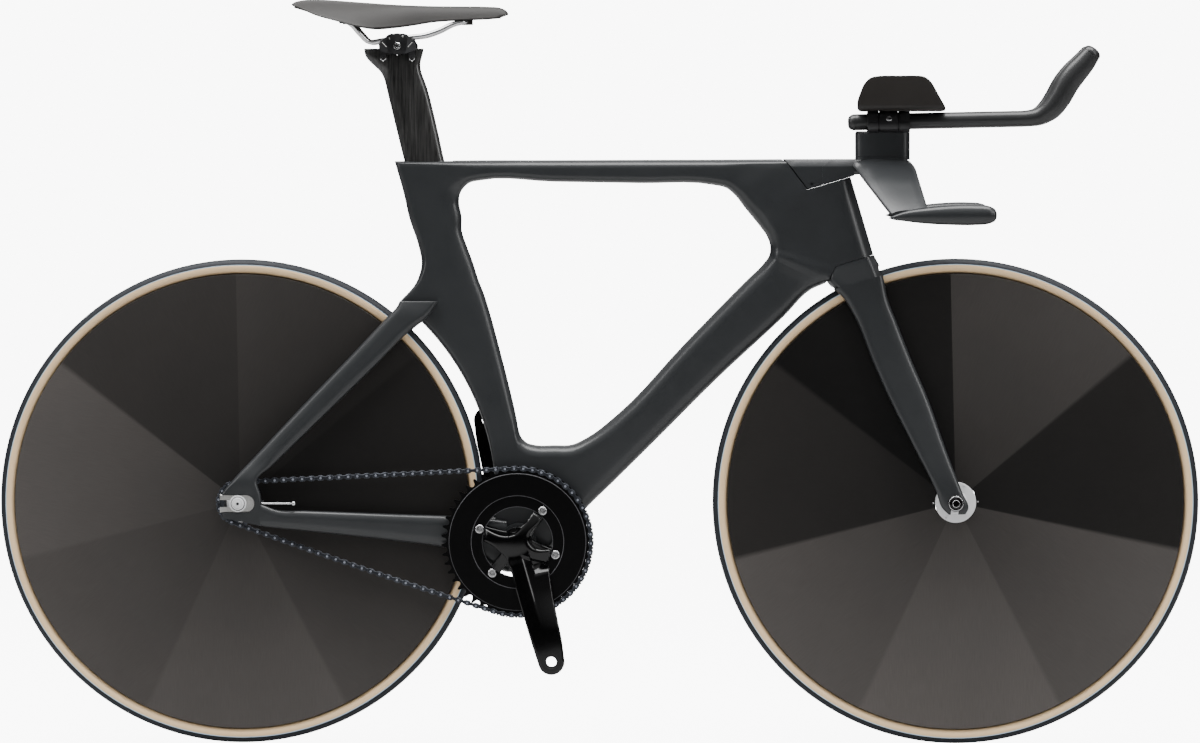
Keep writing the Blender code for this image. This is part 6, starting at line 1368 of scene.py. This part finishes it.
def makeYoke():
    # Drum across the rails, side straps down to the barrels, ears outside the rails with ribs
    x0, z0, r, end = clampX, clampZ, drum, nodeBox("saddle_clamp")[1].y
    rows = [(0, -end), (r - 3.2, -end), (r - 1.0, -end + 0.8), (r, -end + 2.6), (r, -15.5), (r - 3.4, -13.5),
            (r - 0.3, -10.5)]
    rails = [pipe(railPath(shift), seat["railRadius"] + room, 28)
             for shift, room in ((0.0, gap), (seat["foreMost"], 2 * gap))]
    rear, front = nodeBox("clamp_barrel_rear"), nodeBox("clamp_barrel_front")
    a, b = (rear[0].x + rear[1].x) / 2 - x0, (front[0].x + front[1].x) / 2 - x0
    foot, leg = (rear[0].z + rear[1].z) / 2 + 0.6 - z0, yoke["legHalf"]
    strap = ((a - leg, foot), (a - leg, 1.0), (a - leg + 1.2, 4.6), (-13.6, 11.0), (-8.0, 14.0), (8.0, 14.4),
             (14.0, 11.6), (b + leg - 1.0, 5.0), (b + leg, 1.0), (b + leg, foot), (b - leg, foot),
             (b - leg, -12.0), (8.0, -14.4), (-8.0, -14.4), (a + leg, -12.0), (a + leg, foot))
    cheeks, ribs = [], []
    for side in (-1, 1):
        for outline, inner, thick in ((strap, yoke["strapInner"], yoke["strap"]),
                                      (yoke["ear"], yoke["earInner"], yoke["earThick"])):
            y = side * (inner + thick)
            cheeks.append(slab([[(x0 + x, z0 + z) for x, z in outline]], side * inner, y))
        ribs += [pipe([(x0 + x, y, z0 + z), (x0 + toX, y, z0 + toZ)], yoke["rib"], 12)
                 for x, z, toX, toZ in yoke["ribs"]]
    piece("railYoke", lathe(mirrored(rows), (x0, 0, z0)), "blackAlloy", "saddle_clamp", "saddle_clamp",
          join(*cheeks) + cut(*rails, crossPipe(x0, z0 - yoke["boltDrop"], -40, 40, 3.2, 28)), sharp=34)
    piece("yokeRibs", together(*ribs), "grainySilver", "saddle_clamp")


def socketed(name, node, body, side, x, z, depth, socket):
    # A turned piece across the bike with a hexagon socket at each end
    end = nodeBox(node)[1].y
    sockets = [hexSocket(x, z, reach * (end - depth), reach * (end + 4), socket) for reach in (-1, 1)]
    piece(name, lathe(mirrored(side), (x, 0, z), segments=64), "polished", body, node, cut(*sockets))


def makeClampBolts():
    end, head = nodeBox("saddle_clamp_bolt")[1].y, yoke["head"]
    side = [(0, end - 0.4), (2.6, end - 0.4), (2.9, end), (head - 0.5, end), (head, end - 0.5),
            (head, end - 2.6), (2.9, end - 2.6)]
    boltZ = clampZ - yoke["boltDrop"]
    socketed("yokeBolt", "saddle_clamp_bolt", "saddle_clamp", side, clampX, boltZ, 2.2, 2.5)
    for which in ("front", "rear"):
        node = "clamp_barrel_" + which
        low, high = nodeBox(node)
        middle, r, end = (low + high) / 2, nodeRadius(node), high.y
        side = [(0, -end), (r - 0.9, -end), (r, 0.9 - end)]
        socketed("barrel" + which.capitalize(), node, "seatpost", side, middle.x, middle.z, 1.0, 1.9)


makeHub("front", frontAxle)
makeHub("rear", rearAxle)
makeAxle("front", frontAxle, "steering", 9.5)
makeAxle("rear", rearAxle, "frame", 5.5)
for side, hand in hands:
    makeBolt("rear", side, hand, rearAxle, "frame")
    makeBolt("front", side, hand, frontAxle, "steering")
    makeDropout(side, hand)
    makeBearingCup(side, hand)
makeSpindle()
makeWedge()
makeYoke()
makeClampBolts()
# The rims, the saddle's shell and the bearings keep their CAD shapes and get a finish only
for name, kind in (("rear_rim", "cupShell"), ("front_rim", "cupShell"), ("saddle_shell", "cupShell"),
                   ("headset_bearing_lower", "grainySilver"), ("headset_bearing_upper", "grainySilver")):
    frame["nodes"][name].data.materials.clear()
    frame["nodes"][name].data.materials.append(materials[kind][0])
print("hubs, bolts and clamps ready")


# Drive: the pitch circles, the numbers of links and the axles' distance give the place of every pin
drive = {"pitch": 12.7, "ringTeeth": 50, "cogTeeth": 14, "upperLinks": 30, "ringLinks": 28, "cogLinks": 6,
         "lowerLinks": 30, "chainLine": 43.5, "thickness": 2.9, "innerHalf": 2.0, "plate": 1.2,
         "plateHalf": 4.6, "waist": 1.8, "roller": 3.9, "pin": 1.75, "faceRadius": 94.3, "stepRadius": 63.6,
         "openingRadius": 48.2, "faceRise": 3.2, "stepRise": 1.6, "crankAngle": -73.9, "crankLength": 170.0,
         "crankOuter": 71.5, "crankThickness": 13.0, "armEnd": 18.0, "boltCircle": 55.0, "boltRadius": 6.3,
         "boltHole": 4.5, "cogBore": 17.5, "pedalHole": 7.15, "spindleHole": 12.3}
line, halfThick = drive["chainLine"], drive["thickness"] / 2
ringPitch = drive["pitch"] / (2 * sin(pi / drive["ringTeeth"]))
cogPitch = drive["pitch"] / (2 * sin(pi / drive["cogTeeth"]))
crankTurn = radians(drive["crankAngle"])
crankAlong, crankAcross = (cos(crankTurn), sin(crankTurn)), (-sin(crankTurn), cos(crankTurn))
boltTurns = [crankTurn + radians(spread) for spread in (55.2, 125.0, -125.0, -55.2)]


def pinPlaces():
    pitch, upperLinks, lowerLinks = drive["pitch"], drive["upperLinks"], drive["lowerLinks"]
    distance = (bracket - rearAxle).length
    lean = asin((ringPitch - cogPitch) / distance)
    tangent = sqrt(distance ** 2 - (ringPitch - cogPitch) ** 2)
    reach = upperLinks * pitch
    cogStart = pi / 2 + lean + 0.5 * (reach - tangent) / cogPitch
    ax, az = cogPitch * cos(cogStart), cogPitch * sin(cogStart)
    span = hypot(distance - ax, az)
    swing = acos((reach ** 2 + span ** 2 - ringPitch ** 2) / (2 * reach * span))
    heading = atan2(-az, distance - ax) + swing
    bx, bz = ax + reach * cos(heading), az + reach * sin(heading)
    ringStart = atan2(bz, bx - distance)
    upper = [(ax + (bx - ax) * i / upperLinks, az + (bz - az) * i / upperLinks) for i in range(upperLinks)]
    ringEnd = ringStart - 2 * pi * drive["ringLinks"] / drive["ringTeeth"]
    cogEnd = cogStart + 2 * pi * drive["cogLinks"] / drive["cogTeeth"]
    ring = arc((distance, 0.0), ringPitch, ringStart, ringEnd, drive["ringLinks"])
    cog = arc((0.0, 0.0), cogPitch, cogStart, cogEnd, drive["cogLinks"])
    across, down = cog[-1][0] - ring[-1][0], cog[-1][1] - ring[-1][1]
    chordLength = hypot(across, down)
    low, high = 1e-7, radians(20) / lowerLinks
    for _ in range(60):  # the slack run hangs in an even curve
        bend = (low + high) / 2
        if pitch * sin(lowerLinks * bend / 2) / sin(bend / 2) > chordLength:
            low = bend
        else:
            high = bend
    angle = atan2(down, across) + bend * (lowerLinks - 1) / 2
    lower = [ring[-1]]
    for _ in range(lowerLinks - 1):
        lower.append((lower[-1][0] + pitch * cos(angle), lower[-1][1] + pitch * sin(angle)))
        angle -= bend
    slope = atan2(bracket.z - rearAxle.z, bracket.x - rearAxle.x)
    placed = [fromRear(x * cos(slope) - z * sin(slope), x * sin(slope) + z * cos(slope))
              for x, z in upper + ring[:-1] + lower + cog[:0:-1]]
    return placed, ringStart + slope, cogStart + slope


pins, ringPhase, cogPhase = pinPlaces()


def linkPlate(a, b, low, high):
    # A figure-of-eight plate between two pins, with a small bevel on its outward side
    along = Vector((b[0] - a[0], 0, b[1] - a[1])).normalized()
    up, length = Vector((-along.z, 0, along.x)), hypot(b[0] - a[0], b[1] - a[1])
    half, waist, middle = drive["plateHalf"], drive["waist"], 0.5 * length
    end = arc((0, 0), half, radians(128), radians(232), 6)
    outline = end + [(middle, -waist)] + [(length - c, -s) for c, s in end] + [(middle, waist)]
    rings = []
    for y, shrink in ((low, 0.0), (high - (0.25 if high > low else -0.25), 0.0), (high, 0.35)):
        ring = []
        for c, s in outline:
            inward = shrink / hypot(c - middle, s)
            place = along * (c + (middle - c) * inward) + up * (s * (1 - shrink / max(abs(s), 1.5)))
            ring.append(Vector((a[0], y, a[1])) + place)
        rings.append(ring)
    return skin(rings)


def makeChain():
    plates, rollers, studs = [], [], []
    inner, plate, r = drive["innerHalf"], drive["plate"], drive["pin"]
    end = inner + 2 * plate + 0.35
    stud = [(0, -end), (0.5 * r, -end), (r - 0.2, 0.3 - end), (r, 0.7 - end)]
    for i, a in enumerate(pins):
        low, middle = inner + (plate + 0.05 if i % 2 else 0.0), (a[0], -line, a[1])
        for side in (-1, 1):
            plates.append(linkPlate(a, pins[(i + 1) % len(pins)], side * low - line,
                                    side * (low + plate - 0.05) - line))
        rollers.append(rod(middle, drive["roller"], 0.05 - inner, inner - 0.05, 14))
        studs.append(lathe(mirrored(stud), middle, segments=14))
    piece("chainPlates", together(*plates, *rollers), "chainSteel", "frame", "chain")
    piece("chainPins", together(*studs), "pinSteel", "frame")


# Half a tooth gap: distance along the pitch circle from the gap's middle, and height over the pitch circle
toothShape = [(0.0, -4.0), (1.6, -3.65), (2.9, -2.7), (3.7, -1.2), (4.1, 0.6), (4.6, 2.2), (5.3, 3.5),
              (6.35, 3.9)]


def toothed(teeth, pitchRadius, phase, centre):
    shape = [(-along, height) for along, height in toothShape[-2:0:-1]] + toothShape
    return [onCircle(centre, pitchRadius + height, phase + 2 * pi * i / teeth + along / pitchRadius)
            for i in range(teeth) for along, height in shape]


# Anodised black with fine turned circles, and thin pale lines where the ring steps: bare edges with a painted
# highlight on them
anodised = {"dark": (0.0004, 0.0004, 0.0005), "light": (0.0012, 0.0012, 0.0014), "edge": (0.16, 0.16, 0.17),
            "edges": ((drive["faceRadius"] - 0.15, 0.42), (drive["stepRadius"] + 0.1, 0.42),
                      (drive["openingRadius"] + 0.3, 0.35)),
            "relief": 0.05, "depth": 0.00005, "shader": {"Specular IOR Level": 0.12}, "slot": "gloss_black"}


def ringMaterial():
    material, vector = newMaterial("ringBlackTurned")
    distance = aroundWheel(vector, bracket)[0]
    grain = grainOf(vector, 900.0, 1.2)
    base = colourMix(grain, anodised["dark"], anodised["light"])
    # painted highlight: a pale line along each step's edge, the same all round
    for radius, width in anodised["edges"]:
        near = calc("LESS_THAN", calc("ABSOLUTE", minus(distance, radius)), width)
        base = colourMix(times(near, between(grain, 0.3, 1.0)), base, anodised["edge"])
    finish(material, anodised, base, between(grain, 0.27, 0.41), calc("SINE", times(distance, 16.0)))


def makeRing():
    outer, back = -line - halfThick, halfThick - line - 0.1
    face, step = outer - drive["faceRise"], outer - drive["stepRise"]
    r1, r2, r3 = drive["openingRadius"], drive["stepRadius"], drive["faceRadius"]
    body = lathe([(r1, back), (r1, step + 0.5), (r1 + 0.5, step), (r2 - 0.3, step), (r2, step - 0.3),
                  (r2, face + 0.5), (r2 + 0.5, face), (r3 - 0.8, face), (r3, face + 0.8), (r3, outer + 0.3),
                  (r3 + 0.6, outer - 0.05), (r3 + 1.4, outer - 0.05), (r3 + 1.4, back)],
                 bracketMiddle, segments=144, closed=True)
    teeth = slab([toothed(drive["ringTeeth"], ringPitch, ringPhase, bracket),
                  circle((bracket.x, bracket.z), 80.0, 72)], outer, halfThick - line)
    places = [onCircle(bracket, drive["boltCircle"], angle) for angle in boltTurns]
    holes = [crossPipe(x, z, -line - 20, 20 - line, drive["boltHole"], 32) for x, z in places]
    ringMaterial()
    piece("chainRing", body, "ringBlackTurned", "crankset", "chainring", join(teeth) + cut(*holes), sharp=28)
    head, foot, r = step - 0.3, halfThick - line + 3.4, drive["boltRadius"]
    rows = [(0, head + 1.6), (2.3, head + 1.6), (2.3, head - 1.2), (2.9, head - 1.9), (3.7, head - 1.9),
            (4.0, head - 1.5), (4.6, head - 1.5), (4.9, head - 1.9), (r - 0.9, head - 1.7),
            (r - 0.2, head - 1.0), (r, head - 0.2), (r, head), (4.2, head), (4.2, foot), (0, foot)]
    for number, (x, z) in enumerate(places, 1):
        piece(f"ringBolt{number}", lathe(rows, (x, 0, z), segments=48), "polished", "crankset",
              f"chainring_bolt_{number}")


def makeCog():
    bore, centre = drive["cogBore"], (rearAxle.x, rearAxle.z)
    loops = [toothed(drive["cogTeeth"], cogPitch, cogPhase, rearAxle), circle(centre, bore)]
    piece("cogTeeth", slab(loops, -line - halfThick, halfThick - line), "chainSteel", "rear_wheel", "cog")
    low, high = nodeBox("cog_lockring")
    end, start = low.y, high.y
    rows = [(bore, start), (bore + 4.0, start), (bore + 4.0, end + 0.8), (bore + 3.0, end), (bore, end)]
    notches = [crossPipe(*onCircle(rearAxle, bore + 4.6, pi * i / 3), end - 2, start + 0.6, 2.6, 16)
               for i in range(6)]
    piece("cogLockring", lathe(rows, (rearAxle.x, 0, rearAxle.z), segments=72, closed=True), "blackAlloy",
          "rear_wheel", "cog_lockring", cut(*notches))


# Crank face: reach from the axle, width ahead and behind; spiderEdge is forward of and over the axle
crankRows = ((38.0, 33.7, 18.9), (60.0, 30.4, 19.3), (81.0, 27.5, 19.3), (123.0, 23.6, 19.3),
             (147.0, 21.7, 18.8), (160.0, 19.8, 18.3))
spiderEdge = ((-14.5, -21.9), (-19.5, -16.6), (-24.9, -12.7), (-30.7, -6.9), (-38.0, -2.6), (-46.9, 1.2),
              (-43.9, 18.4), (-36.0, 14.2), (-23.7, 9.6), (-13.0, 8.6), (-3.0, 11.2), (6.0, 19.6),
              (14.0, 29.6), (22.4, 41.4), (33.6, 33.6), (24.5, 20.4), (18.4, 8.1), (19.4, 0.4), (24.7, -5.8),
              (33.5, -9.6), (46.6, -10.4))
# Reach, half width and face of a spider's arm
spiderRows = ((0.0, 14.0, 57.0), (14.0, 11.0, 56.0), (24.0, 8.6, 53.0), (34.0, 7.4, 50.6), (41.0, 6.8, 49.6),
              (drive["openingRadius"] - gap, 6.6, 49.0))
armBase = drive["crankOuter"] - drive["crankThickness"] - 9.0


def eased(value, low, high):
    share = min(1.0, max(0.0, (value - low) / (high - low)))
    return share * share * (3 - 2 * share)


def armRise(reach):
    return 9.0 * eased(reach, 15.0, 160.0)


def crankEdge(spider):
    # The arm's outline as reach and across; the right one takes in the arms of the spider
    ahead = flowing([(reach, a) for reach, a, b in crankRows], 3)
    behind = flowing([(reach, -b) for reach, a, b in crankRows], 3)
    tip = arc((drive["crankLength"], 0), drive["armEnd"], pi / 2, -pi / 2, 24)
    if spider:
        root = [(x * crankAlong[0] + z * crankAlong[1], x * crankAcross[0] + z * crankAcross[1])
                for x, z in flowing(spiderEdge, 3, corners=(5, 6, 13, 14, 20))]
    else:
        root = [(14.0, -18.6)] + arc((0, 0), 19.5, -pi / 2, -3 * pi / 2, 16) + [(20.0, 28.0)]
    return root + ahead + tip + behind[::-1]


def fromEdge(reach, across, outline):
    # Distance inside an outline, 0 outside it
    best, inside = 1e9, False
    for (ax, ay), (bx, by) in zip(outline, outline[1:] + outline[:1]):
        dx, dy = bx - ax, by - ay
        share = ((reach - ax) * dx + (across - ay) * dy) / max(1e-9, dx * dx + dy * dy)
        share = min(1.0, max(0.0, share))
        best = min(best, (reach - ax - share * dx) ** 2 + (across - ay - share * dy) ** 2)
        if (ay > across) != (by > across) and reach < ax + dx * (across - ay) / dy:
            inside = not inside
    return sqrt(best) if inside else 0.0


def crankHeight(reach, across, edge, spider):
    # The face falls towards the spider's tips, and its forward half falls away from a ridge
    height, corner = armBase + drive["crankThickness"] + armRise(reach), 2.8
    if spider:
        blend = 1 - (eased(reach, 34.0, 52.0) if across > 12 else eased(reach, 10.0, 30.0))
        height -= 13.6 * (hypot(reach, across) / 52.0) ** 2.2 * blend
        corner += 6.5 * (1 - eased(hypot(reach - 4.5, across - 22.5), 8.0, 24.0))
    top = 18.3 + 0.62 * (across - 1.2)
    fall = 0.26 * max(0.0, across + 0.6) * (1 - eased(reach, 74.0, 134.0))
    fall += 1.4 * eased(across, -1.0, 3.0) * (1 - eased(reach, 70.0, 130.0))
    height -= fall * eased(reach - top, 0.0, 5.0)
    inward = min(1.0, edge / corner)
    return height - 0.8 * corner * (1 - sqrt(max(0.0, 1 - (1 - inward) ** 2)))


def crankBody(side, spider):
    # A fine grid for the face, and the outline that it is kept inside
    outline, step, turned = crankEdge(spider), 1.25, 1 if spider else -1
    (left, right), (low, high) = ((min(way) - 2, max(way) + 2) for way in zip(*outline))
    rows, columns = int((right - left) / step) + 2, int((high - low) / step) + 2
    bm = bmesh.new()

    def place(reach, across, height):
        return (bracket.x + turned * (crankAlong[0] * reach + crankAcross[0] * across), side * height,
                bracket.z + turned * (crankAlong[1] * reach + crankAcross[1] * across))

    face, back = [[] for i in range(rows)], [[] for i in range(rows)]
    for i in range(rows):
        for j in range(columns):
            reach, across = left + i * step, low + j * step
            height = crankHeight(reach, across, fromEdge(reach, across, outline), spider)
            near = spider and hypot(reach, across) < drive["openingRadius"] - 1.9
            under = line + 0.5 if near else armBase + 0.4 + armRise(reach)
            face[i].append(bm.verts.new(place(reach, across, height)))
            back[i].append(bm.verts.new(place(reach, across, min(under, height - 1.5))))
    for i in range(rows - 1):
        for j in range(columns - 1):
            for sheet in (face, back):
                bm.faces.new((sheet[i][j], sheet[i + 1][j], sheet[i + 1][j + 1], sheet[i][j + 1]))
    ring = [(0, j) for j in range(columns)] + [(i, columns - 1) for i in range(1, rows)]
    ring += [(rows - 1, j) for j in range(columns - 2, -1, -1)] + [(i, 0) for i in range(rows - 2, 0, -1)]
    for (i, j), (k, m) in zip(ring, ring[1:] + ring[:1]):
        bm.faces.new((face[i][j], face[k][m], back[k][m], back[i][j]))
    return bm, slab([[place(*point, 0)[::2] for point in outline]], side * 35.0, side * 90.0)


def spiderArm(angle):
    # From the middle out to a chainring bolt, lower than the crank's face
    inner, corner, rings = halfThick + gap - line, 2.2, []
    for reach, half, face in flowing(spiderRows, 4):
        shape = [(half, inner + 1.0), (half, corner - face)]
        for t in turns(0, pi / 2, 5)[1:]:
            shape.append((half - corner * (1 - cos(t)), corner * (1 - sin(t)) - face))
        rings.append([(bracket.x + reach * cos(angle) - a * sin(angle), y,
                       bracket.z + reach * sin(angle) + a * cos(angle)) for a, y in paired(shape)])
    return skin(rings)


def boltPad(angle, half=8.2):
    # Behind the chainring bolt, round at its tip
    tip, base = onCircle(bracket, drive["boltCircle"], angle), onCircle(bracket, 26.0, angle)
    nx, nz = -sin(angle) * half, cos(angle) * half
    outline = [(base[0] - nx, base[1] - nz)] + arc(tip, half, angle - pi / 2, angle + pi / 2, 14)
    outline.append((base[0] + nx, base[1] + nz))
    return slab([outline], halfThick + gap - line, 3.2 + halfThick + gap - line)


def makeCranks():
    x, z = onCircle(bracket, drive["crankLength"], crankTurn)
    body, outline = crankBody(-1, True)
    boss = [(0, -38.2), (18.0, -38.2), (18.6, -38.6), (20.5, -46.0), (20.5, -56.0), (0, -56.0)]
    rebate = [(0, -71.2), (8.9, -71.2), (9.2, -71.6), (9.2, -90), (0, -90)]
    places = [onCircle(bracket, drive["boltCircle"], angle) for angle in boltTurns]
    holes = [crossPipe(*place, -line - 3.2, 18 - line, drive["boltHole"], 32) for place in places]
    holes += [crossPipe(x, z, -95, -20, drive["pedalHole"], 48), lathe(rebate, (x, 0, z), segments=48),
              crossPipe(bracket.x, bracket.z, 0, -57.5, drive["spindleHole"], 48)]
    piece("crankRight", body, "glossBlack", "crankset", "crank_right",
          keep(outline) + join(*map(spiderArm, boltTurns), *map(boltPad, boltTurns),
                               lathe(boss, bracketMiddle, segments=72)) + cut(*holes), sharp=30)
    x, z = onCircle(bracket, drive["crankLength"], crankTurn + pi)
    body, outline = crankBody(1, False)
    boss = [(0, 38.2), (18.0, 38.2), (20.0, 46.0), (20.0, 58.0), (0, 58.0)]
    piece("crankLeft", body, "glossBlack", "crankset", "crank_left",
          keep(outline) + join(lathe(boss, bracketMiddle, segments=72))
          + cut(crossPipe(x, z, 20, 95, drive["pedalHole"], 48),
                crossPipe(bracket.x, bracket.z, 0, 80, drive["spindleHole"], 48)), sharp=30)


makeChain()
makeRing()
makeCog()
makeCranks()
print("drive ready")

print("view transform", bpy.context.scene.view_settings.view_transform, "pieces done")
